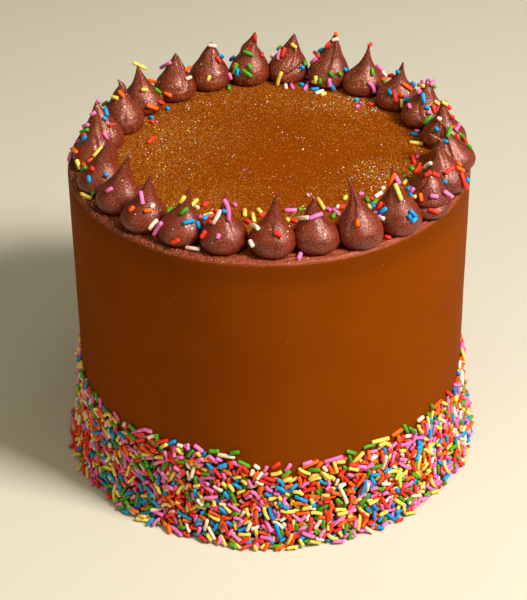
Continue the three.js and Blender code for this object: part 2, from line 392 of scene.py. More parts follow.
@dataclass(frozen=True)
class GoldFall:
    """How thick the gold lies on the top: thin in the middle, thicker outwards, to the left, in patches."""

    middle: tuple[float, float] = (12 * MM, -4 * MM)
    reach: tuple[float, float] = (10 * MM, 78 * MM)
    thin: float = 0.24
    thick: float = 0.34
    more_left: float = 0.18
    patches: tuple[tuple[float, float, float, float, float], ...] = (
        (47 * MM, 56 * MM, 22 * MM, 9 * MM, 0.7),
        (56 * MM, -21 * MM, 16 * MM, 12 * MM, 0.65),
        (-54 * MM, 24 * MM, 26 * MM, 40 * MM, 0.14),
    )

    def at(self, x: np.ndarray, y: np.ndarray, patched: float = 1.0) -> np.ndarray:
        """The share of the top that the gold covers at a place.

        Args:
            x: how far to the right the place lies.
            y: how far to the back it lies.
            patched: how strongly the patches show.

        Returns:
            The share, from 0 to about 1.
        """
        away = smooth_step(np.hypot(x - self.middle[0], y - self.middle[1]), *self.reach)
        share = self.thin + (self.thick - self.more_left * x / (100 * MM)) * away
        for right, back, width, depth, more in self.patches:
            share = share + patched * more * np.exp(-(((x - right) / width) ** 2) - ((y - back) / depth) ** 2)
        return share


@dataclass(frozen=True)
class SmoothButtercream:
    """The buttercream of the cake's side and top: satin, faintly combed, dry where it was scraped."""

    # side and side_shade are the buttercream's own brown, made warmer than the dollops' as a painted warm
    # bounce light on the upright side.
    side: Colour = (0.2, 0.04, 0.0009, 1)
    side_shade: Colour = (0.182, 0.035, 0.0007, 1)
    top: Colour = (0.19, 0.034, 0.0008, 1)
    scraped: Colour = (0.29, 0.046, 0.015, 1)
    # Painted shade: the darker colour of the ledge's pits and dragged streaks, the recesses that the relief
    # sinks.
    painted_pit_shade: Colour = (0.065, 0.01, 0.002, 1)
    # Painted shade: the near-black brown of the frosting in the gaps between the band's sprinkles.
    painted_band_shade: Colour = (0.07, 0.013, 0.001, 1)
    gloss: float = 0.004
    gloss_ledge: float = 0.6
    gloss_tint: Colour = (1.0, 0.74, 0.66, 1)
    streak_length: float = 9 * MM
    streak_width: float = 0.6 * MM
    streak_radius: float = 100 * MM
    blotch: float = 46 * MM
    pit: float = 1.1 * MM
    comb: float = 1.7 * MM
    comb_stretch: tuple[float, float, float] = (0.05, 0.05, 1.0)
    grain: float = 0.75 * MM
    roughness: tuple[float, float] = (0.42, 0.58)
    gold_shine: float = 0.55
    dust: GoldDust = GoldDust()

    def material(self) -> bpy.types.Material:
        """The finished material."""
        recipe = Recipe("buttercream_smooth")
        level, scraped = recipe.attribute("level"), recipe.attribute("scraped")
        blotch = recipe.ranged(recipe.noise(self.blotch, 3), 0.35, 0.68, 0.0, 1.0)
        side = recipe.mixed(blotch, self.side_shade, self.side)
        # Painted shade: the hidden mark darkens the side in the band's gaps and in a strip below the rim.
        under = recipe.mixed(recipe.attribute("hidden"), side, self.painted_band_shade)
        body = recipe.mixed(level, under, self.top)
        # The pits and streaks are sunk by the relief and coloured darker as painted shade.
        deep = recipe.ranged(recipe.noise(self.pit, 3), 0.56, 0.42, 0.0, 1.0)
        streaks = recipe.ranged(self.dragged(recipe), 0.5, 0.34, 0.0, 0.6)
        torn = recipe.math("MULTIPLY", deep, recipe.attribute("crumbly"))
        pits = recipe.math("MAXIMUM", torn, streaks)
        edge = recipe.mixed(pits, self.scraped, self.painted_pit_shade)
        frosted = recipe.mixed(scraped, body, edge)
        grain = recipe.noise(self.grain, 3)
        dusted, gold = self.dust.over(recipe, frosted, recipe.attribute("dust"))
        recipe.surface({
            "Base Color": dusted,
            "Roughness": recipe.ranged(grain, 0.3, 0.7, *self.roughness),
            "Specular IOR Level": recipe.ranged(scraped, 0.0, 1.0, self.gloss, self.gloss_ledge),
            "Specular Tint": self.gloss_tint,
            "Metallic": recipe.math("MULTIPLY", gold, self.gold_shine),
            "Normal": self.relief(recipe, grain, pits, scraped),
        })
        return recipe.material

    def dragged(self, recipe: Recipe) -> object:
        """Noise drawn out round the cake, as the scraper leaves it on the ledge.

        Args:
            recipe: the material's recipe.

        Returns:
            The noise's value, about 0.5.
        """
        flat = recipe.node("VectorMath", {0: recipe.place, 1: (1, 1, 0)}, operation="MULTIPLY").outputs[0]
        reach = recipe.node("VectorMath", {0: flat}, operation="LENGTH").outputs["Value"]
        turned = recipe.node("VectorMath", {0: flat}, operation="NORMALIZE").outputs[0]
        drawn_in = recipe.math("MULTIPLY", reach, self.streak_length / self.streak_width)
        inward = recipe.node("CombineXYZ", {"Z": drawn_in}).outputs[0]
        scaled = {0: turned, "Scale": self.streak_radius}
        around = recipe.node("VectorMath", scaled, operation="SCALE").outputs[0]
        place = recipe.node("VectorMath", {0: around, 1: inward}, operation="ADD").outputs[0]
        return recipe.noise(self.streak_length, 2, place)

    def relief(self, recipe: Recipe, grain: object, pits: object, scraped: object) -> object:
        """The combed lines left by the scraper, the fine grain, and the pits of the scraped edge.

        Args:
            recipe: the material's recipe.
            grain: the fine grain's height.
            pits: the pits' height.
            scraped: where the edge was scraped.

        Returns:
            The normal.
        """
        squeeze = recipe.node("Mapping", {"Vector": recipe.place, "Scale": self.comb_stretch})
        combed = recipe.noise(self.comb, 2, squeeze.outputs["Vector"])
        lines = recipe.bump(combed, 0.3, 0.2 * MM)
        fine = recipe.bump(grain, 0.4, 0.16 * MM, lines)
        raised = recipe.math("MULTIPLY", recipe.math("SUBTRACT", 1.0, pits), scraped)
        return recipe.bump(raised, 0.8, 0.55 * MM, fine)


@dataclass(frozen=True)
class PipedButtercream:
    """The buttercream of the dollops: smooth, satin, close-grained, dusted with gold on one side."""

    light: Colour = (0.2, 0.019, 0.002, 1)
    dark: Colour = (0.09, 0.008, 0.001, 1)
    gloss: tuple[float, float] = (0.2, 1.9)
    gloss_tint: Colour = (1.0, 0.64, 0.58, 1)
    cloud: float = 8 * MM
    grain: float = 0.6 * MM
    sparkle: float = 0.5 * MM
    softness: float = 3.4 * MM
    roughness: tuple[float, float] = (0.38, 0.5)
    gold_shine: float = 0.5
    dust: GoldDust = GoldDust(pale=(1.0, 0.62, 0.3, 1), deep=(0.3, 0.11, 0.03, 1), speck=0.36 * MM)

    def material(self) -> bpy.types.Material:
        """The finished material."""
        recipe = Recipe("buttercream_piped")
        cloud = recipe.ranged(recipe.noise(self.cloud, 3), 0.36, 0.66, 0.0, 0.5)
        grain = recipe.noise(self.grain, 3)
        sandy = recipe.ranged(grain, 0.36, 0.64, 0.0, 0.3)
        cream = recipe.mixed(recipe.math("ADD", cloud, sandy), self.dark, self.light)
        dusted, gold = self.dust.over(recipe, cream, recipe.attribute("dust"))
        soft = recipe.bump(recipe.noise(self.softness, 2), 0.35, 0.4 * MM)
        recipe.surface({
            "Base Color": dusted,
            "Roughness": recipe.ranged(grain, 0.3, 0.7, *self.roughness),
            "Specular IOR Level": recipe.ranged(recipe.noise(self.sparkle, 1), 0.42, 0.62, *self.gloss),
            "Specular Tint": self.gloss_tint,
            "Metallic": recipe.math("MULTIPLY", gold, self.gold_shine),
            "Normal": recipe.bump(grain, 0.5, 0.36 * MM, soft),
        })
        return recipe.material


@dataclass(frozen=True)
class Sugar:
    """The pressed sugar of one colour of sprinkle: satin, a little mottled, each one its own tone."""

    name: str
    light: Colour
    dark: Colour
    patch: float = 0.7 * MM
    most_dark: float = 0.3
    roughness: tuple[float, float] = (0.4, 0.54)
    grain: float = 0.5 * MM

    def material(self) -> bpy.types.Material:
        """The finished material."""
        recipe = Recipe(f"sugar_{self.name}")
        own = recipe.mixed(recipe.attribute("tone"), self.dark, self.light)
        mottle = recipe.ranged(recipe.noise(self.patch, 2), 0.3, 0.7, 0.0, self.most_dark)
        recipe.surface({
            "Base Color": recipe.mixed(mottle, own, self.dark),
            "Roughness": recipe.ranged(mottle, 0.0, self.most_dark, *self.roughness),
            "Specular IOR Level": 0.24,
            "Subsurface Weight": 0.12,
            "Subsurface Scale": 0.6 * MM,
            "Normal": recipe.bump(recipe.noise(self.grain, 2), 0.2, 0.08 * MM),
        })
        return recipe.material


@dataclass(frozen=True)
class Glitter:
    """Flakes of edible glitter, each with the colour that its own number picks."""

    name: str
    colours: tuple[Colour, ...]
    metallic: float
    grain: float = 0.3 * MM
    roughness: tuple[float, float] = (0.18, 0.34)

    def material(self) -> bpy.types.Material:
        """The finished material."""
        recipe = Recipe(f"glitter_{self.name}")
        ramp = recipe.node("ValToRGB", {"Fac": recipe.attribute("tone")})
        ramp.color_ramp.interpolation = "CONSTANT"
        stops = ramp.color_ramp.elements
        while len(stops) < len(self.colours):
            stops.new(1.0)
        for i, colour in enumerate(self.colours):
            stops[i].position = i / len(self.colours)
            stops[i].color = colour
        recipe.surface({
            "Base Color": ramp.outputs["Color"],
            "Roughness": recipe.ranged(recipe.noise(self.grain, 1), 0.3, 0.7, *self.roughness),
            "Metallic": self.metallic,
        })
        return recipe.material


GOLD_GLITTER = Glitter("gold", ((0.8, 0.36, 0.045, 1), (0.5, 0.16, 0.012, 1), (0.95, 0.54, 0.13, 1)), 0.7)
COLOURED_GLITTER = Glitter(
    "coloured",
    (
        (0.95, 1.0, 0.15, 1), (0.1, 0.95, 0.9, 1), (0.65, 0.4, 1.0, 1),
        (1.0, 1.0, 1.0, 1), (0.3, 0.95, 0.2, 1), (1.0, 0.4, 0.6, 1),
    ),
    0.0,
)


class Kind(Enum):
    """The seven colours of sprinkle."""

    PINK = Sugar("pink", (0.88, 0.21, 0.5, 1), (0.66, 0.11, 0.36, 1))
    RED = Sugar("red", (0.88, 0.045, 0.02, 1), (0.62, 0.018, 0.01, 1))
    ORANGE = Sugar("orange", (0.96, 0.14, 0.003, 1), (0.78, 0.08, 0.002, 1))
    YELLOW = Sugar("yellow", (0.85, 0.65, 0.12, 1), (0.76, 0.5, 0.07, 1))
    GREEN = Sugar("green", (0.085, 0.36, 0.008, 1), (0.04, 0.21, 0.005, 1))
    BLUE = Sugar("blue", (0.003, 0.33, 0.72, 1), (0.002, 0.2, 0.5, 1))
    CREAM = Sugar("cream", (0.84, 0.68, 0.55, 1), (0.75, 0.55, 0.43, 1))


KINDS = tuple(Kind)
SHARES = (0.195, 0.14, 0.14, 0.19, 0.11, 0.12, 0.105)


# ---------------------------------------------------------------- the photograph's viewpoint


@dataclass(frozen=True)
class Viewpoint:
    """The place and aim of the camera, in the frame of the cake."""

    width: int = 527
    height: int = 600
    focal: float = 1869.8
    back: float = 0.8455
    up: float = 0.6462
    pitch: float = math.radians(33.788)
    roll: float = math.radians(-0.670)
    yaw: float = math.radians(-0.249)
    sensor: float = 36.0

    def place(self) -> Vector:
        """Where the camera is."""
        return Vector((0, -self.back, self.up))

    def axes(self) -> tuple[Vector, Vector, Vector]:
        """The camera's own right, up and forward."""
        level = math.cos(self.pitch)
        forward = Vector((math.sin(self.yaw) * level, math.cos(self.yaw) * level, -math.sin(self.pitch)))
        right = Vector((math.cos(self.yaw), -math.sin(self.yaw), 0))
        up = right.cross(forward)
        tilted = right * math.cos(self.roll) + up * math.sin(self.roll)
        return tilted, up * math.cos(self.roll) - right * math.sin(self.roll), forward

    def ray(self, x: float, y: float) -> Vector:
        """The direction in which a pixel looks.

        Args:
            x: the pixel's place from the left.
            y: the pixel's place from the top.

        Returns:
            The direction, one metre deep along the camera's axis.
        """
        right, up, forward = self.axes()
        aside = (x - self.width / 2) / self.focal
        down = (y - self.height / 2) / self.focal
        return forward + right * aside - up * down

    def add_camera(self) -> None:
        """Makes the camera and gives it to the scene."""
        right, up, forward = self.axes()
        lens = bpy.data.cameras.new("camera")
        lens.sensor_width = self.sensor
        lens.lens = self.focal * self.sensor / self.height
        lens.clip_start, lens.clip_end = 0.01, 50
        camera = bpy.data.objects.new("camera", lens)
        bpy.context.scene.collection.objects.link(camera)
        turned = Matrix((right, up, -forward)).transposed().to_4x4()
        camera.matrix_world = Matrix.Translation(self.place()) @ turned
        bpy.context.scene.camera = camera


# ---------------------------------------------------------------- the cake's body


@dataclass(frozen=True)
class BandForm:
    """The outer form of the sprinkle band round the foot, as the solid has it."""

    radius: float = 104 * MM
    mean_height: float = 55.5 * MM
    swing: float = 4.5 * MM
    wave: float = 1.2 * MM
    low_side: float = math.radians(275)
    rises: tuple[tuple[float, float, float], ...] = (
        (248, 6 * MM, 18), (270, -5.5 * MM, 10), (304, 1.5 * MM, 8), (342, -4.5 * MM, 12),
        (30, 4 * MM, 20), (95, -3.5 * MM, 16), (140, 4.5 * MM, 18),
    )
    thickness: float = 1.8 * MM
    lump: float = 0.7 * MM
    flare: float = 8.8 * MM
    flare_wave: float = 1.3 * MM
    heap: tuple[tuple[float, float], ...] = ((2.2 * MM, 0.88), (6.5 * MM, 0.62), (15 * MM, 0.38))
    core_depth: float = 4.6 * MM

    def top(self, angle: np.ndarray) -> np.ndarray:
        """Height of the band's uneven top edge at an angle round the cake."""
        height = self.mean_height - self.swing * np.cos(angle - self.low_side)
        for middle, rise, width in self.rises:
            aside = turned_from(angle, math.radians(middle)) / math.radians(width)
            height = height + rise * np.exp(-(aside**2))
        return height + self.wave * round_wave(angle, (7, 11, 17), 1.3)

    def lumps(self, angle: np.ndarray, row: int) -> np.ndarray:
        """How far a row of the heap stands in or out of its even outline."""
        return self.lump * round_wave(angle, (11, 14, 18), 1.7 * row)

    def outline(self, angle: float) -> tuple[np.ndarray, np.ndarray]:
        """The band's outer outline at one angle.

        Args:
            angle: the angle round the cake.

        Returns:
            The heights of its corners, from the foot up, and their radii.
        """
        flare = self.flare + self.flare_wave * float(round_wave(angle, (5, 9, 13), 2.1))
        top = float(self.top(angle))
        heights, reaches = [0.0], [flare]
        for row, (height, share) in enumerate(self.heap):
            heights.append(height)
            reaches.append(flare * share + float(self.lumps(angle, row)) * (1 if row else 0.5))
        heights += [top * 0.58, top - 4 * MM, top]
        reaches += [self.thickness + float(self.lumps(angle, 3)), self.thickness * 0.6, 0.0]
        return np.array(heights), self.radius + np.array(reaches)

    def core(self, angle: float, height: np.ndarray) -> np.ndarray:
        """Radius of the buttercream under the sprinkles.

        Args:
            angle: the angle round the cake.
            height: the height above the foot.

        Returns:
            The radius at each height.
        """
        outer = np.interp(height, *self.outline(angle))
        return np.maximum(self.radius, outer - self.core_depth)


@dataclass
class FrostedBody:
    """The upright cake under its smooth coat, with a scraped ledge round the top."""

    band: BandForm = field(default_factory=BandForm)
    height: float = 170 * MM
    edge: float = 2.4 * MM
    columns: int = 640
    side_rows: int = 44
    edge_rows: int = 6
    ledge_width: float = 12 * MM
    ledge_rows: int = 24
    top_rows: int = 24
    lip_height: float = 0.7 * MM
    lip_width: float = 3.4 * MM
    lip_high_side: float = math.radians(205)
    foot_rows: tuple[tuple[float, float], ...] = (
        (3.2 * MM, 2.2 * MM), (2 * MM, 4.4 * MM), (1 * MM, 6.5 * MM), (0.4 * MM, 11 * MM),
    )
    heap_height: float = 30 * MM
    side_wave: float = 0.05 * MM
    crumb: float = 0.05 * MM
    crumb_left: float = 0.22 * MM
    drag: float = 0.26 * MM
    ledge_sunk: float = 0.25 * MM
    top_wave: float = 0.16 * MM

    def lip(self, angle: np.ndarray) -> np.ndarray:
        """Height of the scraped lip above the flat top."""
        share = 0.5 + 0.5 * np.cos(angle - self.lip_high_side)
        return self.lip_height * share**2 * (0.75 + 0.25 * round_wave(angle, (8, 13, 21), 0.7))

    def mean_outline(self) -> np.ndarray:
        """The rows of the even outline, before the cake's unevenness.

        Returns:
            Rows of (radius, height) from the middle of the underside to the middle of the top.
        """
        radius = self.band.radius
        under = [(0, 0), (radius * 0.5, 0), (radius + 4 * MM, 0)]
        foot = [(radius + reach, height) for reach, height in self.foot_rows]
        side = [(radius, z) for z in np.linspace(16 * MM, self.height - self.edge, self.side_rows)]
        turns = np.linspace(0, math.pi / 2, self.edge_rows + 1)[1:]
        rim = [
            (radius - self.edge * (1 - math.cos(turn)), self.height - self.edge * (1 - math.sin(turn)))
            for turn in turns
        ]
        inner = radius - self.edge - self.ledge_width
        ledge = [(r, self.height) for r in np.linspace(radius - self.edge, inner, self.ledge_rows + 1)[1:]]
        top = [(inner * (1 - (i / self.top_rows) ** 1.2), self.height) for i in range(1, self.top_rows + 1)]
        return np.array(under + foot + side + rim + ledge + top)

    def build(self) -> bpy.types.Object:
        """Spins the coat, then gives it its core, ledge and unevenness.

        Returns:
            The finished coat.
        """
        outline = self.mean_outline()
        coat = spun("frosting_coat", outline, self.columns)
        points = points_of(coat.data)
        rows = rows_matched(points, outline)
        places = outline[rows]
        angle = np.arctan2(points[:, 1], points[:, 0])
        radius = self.uneven_radius(places, angle)
        shaped = np.stack([radius * np.cos(angle), radius * np.sin(angle), places[:, 1]], -1)
        shaped[:, 2] += self.uneven_height(places, angle, shaped)
        move_points(coat.data, shaped)
        self.mark(coat.data, shaped)
        coat.data.materials.append(SmoothButtercream().material())
        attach(coat, "root")
        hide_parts("cake")
        return coat

    def uneven_radius(self, places: np.ndarray, angle: np.ndarray) -> np.ndarray:
        """The real radius of each point.

        Args:
            places: each point's even radius and height.
            angle: each point's angle.

        Returns:
            The radius with the core of the heap and the faint waves left by the scraper.
        """
        radius, height = places[:, 0].copy(), places[:, 1]
        foot = (height < self.heap_height) & (radius > self.band.radius * 0.9)
        for turn in np.unique(np.round(angle[foot], 6)):
            here = foot & (np.abs(angle - turn) < 1e-5)
            radius[here] = self.band.core(turn, height[here])
        upright = smooth_step(radius, self.band.radius * 0.98, self.band.radius * 0.995)
        turned = np.stack([np.cos(angle), np.sin(angle), height / self.band.radius * 1.4], -1)
        return radius + upright * self.side_wave * Unevenness(3, 0.16, 0.9, 24).at(turned)

    def uneven_height(self, places: np.ndarray, angle: np.ndarray, points: np.ndarray) -> np.ndarray:
        """How far each point of the top stands above or below its even height.

        Args:
            places: each point's even radius and height.
            angle: each point's angle.
            points: each point's place.

        Returns:
            The rise of each point.
        """
        rim = self.band.radius - places[:, 0]
        above = smooth_step(places[:, 1], self.height - 1.2 * self.edge, self.height - 0.2 * self.edge)
        lip = self.lip(angle) * np.clip(1 - np.abs(rim - 0.8 * self.edge) / self.lip_width, 0, 1)
        left = smooth_step(np.cos(angle - self.lip_high_side), 0.1, 0.9)
        crumbs = Unevenness(11, 1.3 * MM, 4.2 * MM, 72).at(points)
        drag = Unevenness(12, 0.12, 0.4, 32).at(np.stack([np.cos(angle), np.sin(angle), rim / (6 * MM)], -1))
        on_ledge = smooth_step(rim, 0.2 * MM, 1.4 * MM) * (1 - smooth_step(rim, 6 * MM, 11 * MM))
        rough = (self.crumb + self.crumb_left * left) * crumbs + self.drag * drag
        flat = (1 - smooth_step(places[:, 0], 75 * MM, 98 * MM)) * self.top_wave
        waves = flat * Unevenness(5, 30 * MM, 90 * MM, 24).at(points)
        return above * (lip + on_ledge * (rough - self.ledge_sunk) + waves)

    def mark(self, mesh: bpy.types.Mesh, points: np.ndarray) -> None:
        """Marks where the coat is level, scraped or dusted, and where it gets painted shade below the rim and
        in the band's gaps, for its finish.

        Args:
            mesh: the coat's mesh.
            points: its points.
        """
        radius = np.hypot(points[:, 0], points[:, 1])
        angle = np.arctan2(points[:, 1], points[:, 0])
        rise = points[:, 2]
        below = self.height - rise
        level = 1 - smooth_step(below, 0.5 * MM, 1.6 * MM)
        scraped = level * (1 - smooth_step(self.band.radius - radius, 6.5 * MM, 9 * MM))
        left = 0.5 - 0.5 * np.cos(angle)
        crumbly = 0.25 + 0.75 * smooth_step(np.cos(angle - self.lip_high_side), 0.3, 0.95)
        drifts = Unevenness(8, 18 * MM, 60 * MM, 24).at(points)
        top_dust = level * np.clip(GoldFall().at(points[:, 0], points[:, 1]) + 0.06 * drifts, 0.04, 0.8)
        side_dust = 0.0008 + 0.006 * left * (1 - smooth_step(below, 2 * MM, 40 * MM))
        ledge_dust = 0.03 + 0.1 * crumbly
        # Painted shade: a strip of the side darkened just below the rim.
        painted_shade_below_rim = 0.3 * (1 - smooth_step(below, 6 * MM, 18 * MM)) * (1 - level)
        # Painted shade: the coat is darkened under the band, where it shows in the gaps between sprinkles.
        painted_band_shade = 1 - smooth_step(rise - self.band.top(angle), -16 * MM, -3 * MM)
        marks = {
            "level": level,
            "scraped": scraped,
            "crumbly": crumbly,
            "dust": np.where(scraped > 0.5, ledge_dust, np.maximum(top_dust, side_dust)),
            # The painted shade below the rim and in the band's gaps, kept under the name hidden.
            "hidden": painted_shade_below_rim + painted_band_shade,
        }
        for name, values in marks.items():
            write_attribute(mesh, name, values)


# ---------------------------------------------------------------- the ring of dollops


class Fold(NamedTuple):
    """A crease in a dollop: its side in degrees, its two ends and its turn on the way up."""

    side: float
    start: float
    end: float
    depth: float
    width: float
    twist: float = 0.0


@dataclass(frozen=True)
class Dollop:
    """One dollop: degrees off its even place, millimetres out, its height, and how its tip hangs."""

    turn: float
    out: float
    height: float
    tip: tuple[float, float]
    blunt: float = 0.0
    hook: tuple[float, float] = (0.0, 0.5)
    sway: float = 0.0
    sway_at: float = 0.87
    waist: tuple[float, float] = (0.0, 0.0)
    folds: tuple[Fold, ...] = ()


DOLLOPS = (
    Dollop(-1, -1.5, 31, (2, -1), hook=(-0.1, 1.4), folds=(Fold(262, 0.4, 0.8, 0.6, 0.9, 18),)),
    Dollop(
        -1.5, -2.5, 29, (-4.5, 0), hook=(-0.4, 1.2), sway=2.6,
        folds=(Fold(292, 0.2, 0.34, 0.5, 0.8, 40),),
    ),
    Dollop(-2.4, 0.5, 33, (-5, 1), hook=(-1.8, 2.4), folds=(Fold(254, 0.3, 0.8, 0.7, 0.9, 24),)),
    Dollop(-2.5, 1, 33, (-3.5, 0), 0.05, hook=(-0.3, 1.2)),
    Dollop(-3, 2, 22, (0, 1), 0.34, waist=(0.3, 0.9), folds=(Fold(235, 0.5, 0.95, 0.4, 1.0, 30),)),
    Dollop(-2, 0.5, 30, (-7, 1), hook=(-2.4, 0.2), sway=3.2, folds=(Fold(285, 0.35, 0.9, 0.4, 0.8, 15),)),
    Dollop(-2, 2, 26, (-9, 0), hook=(-0.4, 0.4), sway=1.4, folds=(Fold(250, 0.35, 0.92, 0.9, 0.9, -30),)),
    Dollop(-1, 0, 24, (-2, 0), 0.06, hook=(-0.6, 0.6), folds=(Fold(230, 0.35, 0.6, 0.8, 0.9, 20),)),
    Dollop(0.3, -2.5, 25, (3, 2), 0.12, hook=(-1.3, -0.8), folds=(Fold(250, 0.25, 0.5, 0.9, 1.0, -25),)),
    Dollop(1.5, -2, 25, (3, 0), folds=(Fold(300, 0.3, 0.7, 0.3, 1.0, 10),)),
    Dollop(2.8, 0.5, 26, (2.5, 0), hook=(-0.2, 0.9)),
    Dollop(2, 0.5, 28.5, (4, 1), 0.16, folds=(Fold(268, 0.34, 0.88, 1.0, 0.8, 20),)),
    Dollop(
        2, 2, 26, (3.5, 0), 0.16,
        folds=(Fold(305, 0.22, 0.5, 2.2, 1.3, 100), Fold(278, 0.36, 0.74, 1.0, 0.8, 25)),
    ),
    Dollop(
        1.5, 0, 28, (3.5, 0), 0.15, hook=(0.5, 0.9), sway=-1.2, sway_at=0.72,
        folds=(Fold(285, 0.6, 0.84, 0.6, 0.9, 60),),
    ),
    Dollop(1, 0.5, 25.5, (1, 1), 0.2, hook=(0.0, -0.2), folds=(Fold(270, 0.5, 0.9, 0.3, 1.0, 0),)),
    Dollop(1, -1, 25, (1, 0), 0.17, folds=(Fold(310, 0.3, 0.95, 1.0, 0.9, 12),)),
    Dollop(1, 0, 25.5, (-2, 0), 0.05, folds=(Fold(268, 0.5, 0.9, 0.3, 0.9, 10),)),
    Dollop(
        1.6, -2.5, 28, (-1, 1), 0.1, hook=(-0.6, -0.2), sway=1.6,
        folds=(Fold(282, 0.2, 0.45, 0.9, 0.8, 12),),
    ),
    Dollop(0, 0.5, 24, (-3, 1), 0.16, folds=(Fold(300, 0.2, 0.7, 0.7, 1.0, 25),)),
    Dollop(-1.5, 2, 25, (2, 2), 0.1, folds=(Fold(280, 0.35, 0.7, 0.6, 1.0, -20),)),
    Dollop(-0.5, 2, 26.5, (6, 0), 0.08, hook=(-0.2, 0.6)),
    Dollop(-1, 0.5, 28.5, (6.5, 0), 0.06, hook=(0.0, 0.6)),
    Dollop(-1.3, 1, 27.5, (4.5, 1), 0.06, hook=(-0.1, 0.2)),
    Dollop(-1.8, -1, 27.5, (5, 1), hook=(0.2, 0.6)),
    Dollop(-1.8, -2, 29, (1.5, 0), hook=(0.0, 1.2), folds=(Fold(292, 0.3, 0.75, 0.4, 0.9, -14),)),
)


@dataclass
class DollopRing:
    """The dollops piped in a ring on the top, each with its own lean, folds and pulled tip."""

    centre: tuple[float, float] = (2.8 * MM, -2 * MM)
    ring_radius: float = 90.2 * MM
    start: float = math.radians(270)
    radius: float = 11.5 * MM
    foot: float = 170 * MM
    columns: int = 64
    body_rows: int = 30
    tip_rows: int = 22
    tip_from: int = 4
    tip_bend: float = 1.8
    blunt_from: float = 0.3
    hook_from: float = 0.74
    gap: float = 0.06 * MM
    outline: tuple[tuple[float, float], ...] = (
        (0.78, 0), (0.96, 0.08), (1, 0.2), (0.86, 0.34), (0.4, 0.57), (0.16, 0.79), (0.045, 0.96),
    )

    def middle(self, index: int) -> np.ndarray:
        """Where a dollop stands on the top.

        Args:
            index: its number in the list, anticlockwise from the front.

        Returns:
            The x and y of its middle.
        """
        shape = DOLLOPS[index % len(DOLLOPS)]
        angle = self.start + index / len(DOLLOPS) * 2 * math.pi + math.radians(shape.turn)
        reach = self.ring_radius + shape.out * MM
        return np.array(self.centre) + reach * np.array([math.cos(angle), math.sin(angle)])

    def curve(self) -> np.ndarray:
        """The half outline as a smooth curve through its corners.

        Returns:
            Rows of (share of the radius, share of the height), from the axis to the axis.
        """
        corners = np.array([self.outline[0], *self.outline, self.outline[-1]])
        spans = len(self.outline) - 1
        rows = []
        body = np.linspace(0, self.tip_from, self.body_rows, endpoint=False)
        for share in [*body, *np.linspace(self.tip_from, spans, self.tip_rows)]:
            first = min(int(share), spans - 1)
            t = share - first
            a, b, c, d = corners[first:first + 4]
            pull = (2 * a - 5 * b + 4 * c - d) * t**2 + (3 * (b - c) + d - a) * t**3
            rows.append(0.5 * (2 * b + (c - a) * t + pull))
        return np.array([(0, 0), *rows, (0.034, 0.975), (0.022, 0.99), (0, 1)])

    def build(self) -> list[bpy.types.Object]:
        """Models one dollop, copies it for each place and shapes each copy.

        Returns:
            The finished dollops.
        """
        outline = self.curve() * [self.radius, self.radius]
        master = spun("dollop_master", outline, self.columns)
        finish = PipedButtercream().material()
        made = [self.copied(master, index, finish) for index in range(len(DOLLOPS))]
        bpy.data.objects.remove(master)
        return made

    def copied(self, master: bpy.types.Object, index: int, finish: bpy.types.Material) -> bpy.types.Object:
        """One dollop with a mesh of its own.

        Args:
            master: the plain dollop.
            index: the dollop's number.
            finish: its material.

        Returns:
            The shaped dollop.
        """
        piece = master.copy()
        piece.data = master.data.copy()
        piece.name = f"dollop_piped_{index + 1:02d}"
        bpy.context.scene.collection.objects.link(piece)
        shaped = self.shaped(points_of(master.data), index)
        move_points(piece.data, shaped)
        write_attribute(piece.data, "dust", self.dust(shaped, index))
        piece.data.materials.append(finish)
        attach(piece, "root")
        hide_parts(f"dollop_{index + 1:02d}")
        return piece

    def shaped(self, plain: np.ndarray, index: int) -> np.ndarray:
        """The points of one dollop.

        Args:
            plain: the master's points, as high as it is wide.
            index: the dollop's number.

        Returns:
            The points where they lie on the cake.
        """
        shape = DOLLOPS[index]
        share = plain[:, 2] / self.radius
        angle = np.arctan2(plain[:, 1], plain[:, 0])
        radius = np.hypot(plain[:, 0], plain[:, 1])
        inside = radius > 1e-7
        upper = np.clip((share - self.blunt_from) / (1 - self.blunt_from), 0, 1)
        radius = radius + inside * self.radius * shape.blunt * np.sin(math.pi * upper)
        radius = radius * (1 + self.wobble(angle, share, index))
        height = shape.height * MM
        for fold in shape.folds:
            radius = radius - inside * self.crease(fold, angle, share, radius)
        waist, depth = shape.waist
        radius = radius - inside * depth * MM * np.exp(-(((share - waist) * height / (0.9 * MM)) ** 2))
        hooked = np.clip((share - self.hook_from) / (1 - self.hook_from), 0, 1) ** 2
        swayed = shape.sway * np.exp(-(((share - shape.sway_at) / 0.1) ** 2))
        lean = np.maximum(0, share)[:, None] ** self.tip_bend * np.array(shape.tip) * MM
        lean[:, 0] += (shape.hook[0] * hooked + swayed) * MM
        place = np.stack([radius * np.cos(angle), radius * np.sin(angle)], -1) + lean
        place = self.kept_apart(place + self.middle(index), index)
        rise = self.foot + share * height + shape.hook[1] * MM * hooked
        return np.column_stack([place, rise])

    def wobble(self, angle: np.ndarray, share: np.ndarray, index: int) -> np.ndarray:
        """The soft unevenness of a dollop, as a share of its radius.

        Args:
            angle: each point's side.
            share: each point's share of the height.
            index: the dollop's number, which gives it its own form.

        Returns:
            How much wider or narrower it is at each point.
        """
        here = np.stack([np.cos(angle), np.sin(angle), share * 2.2], -1)
        broad = Unevenness(100 + index, 1.2, 4.0, 20).at(here)
        fine = Unevenness(200 + index, 0.25, 0.8, 36).at(here)
        ripple = np.sin(share * 46 + index) * (1 - smooth_step(share, 0.3, 0.6))
        return 0.018 * broad + 0.0045 * fine + 0.0035 * ripple

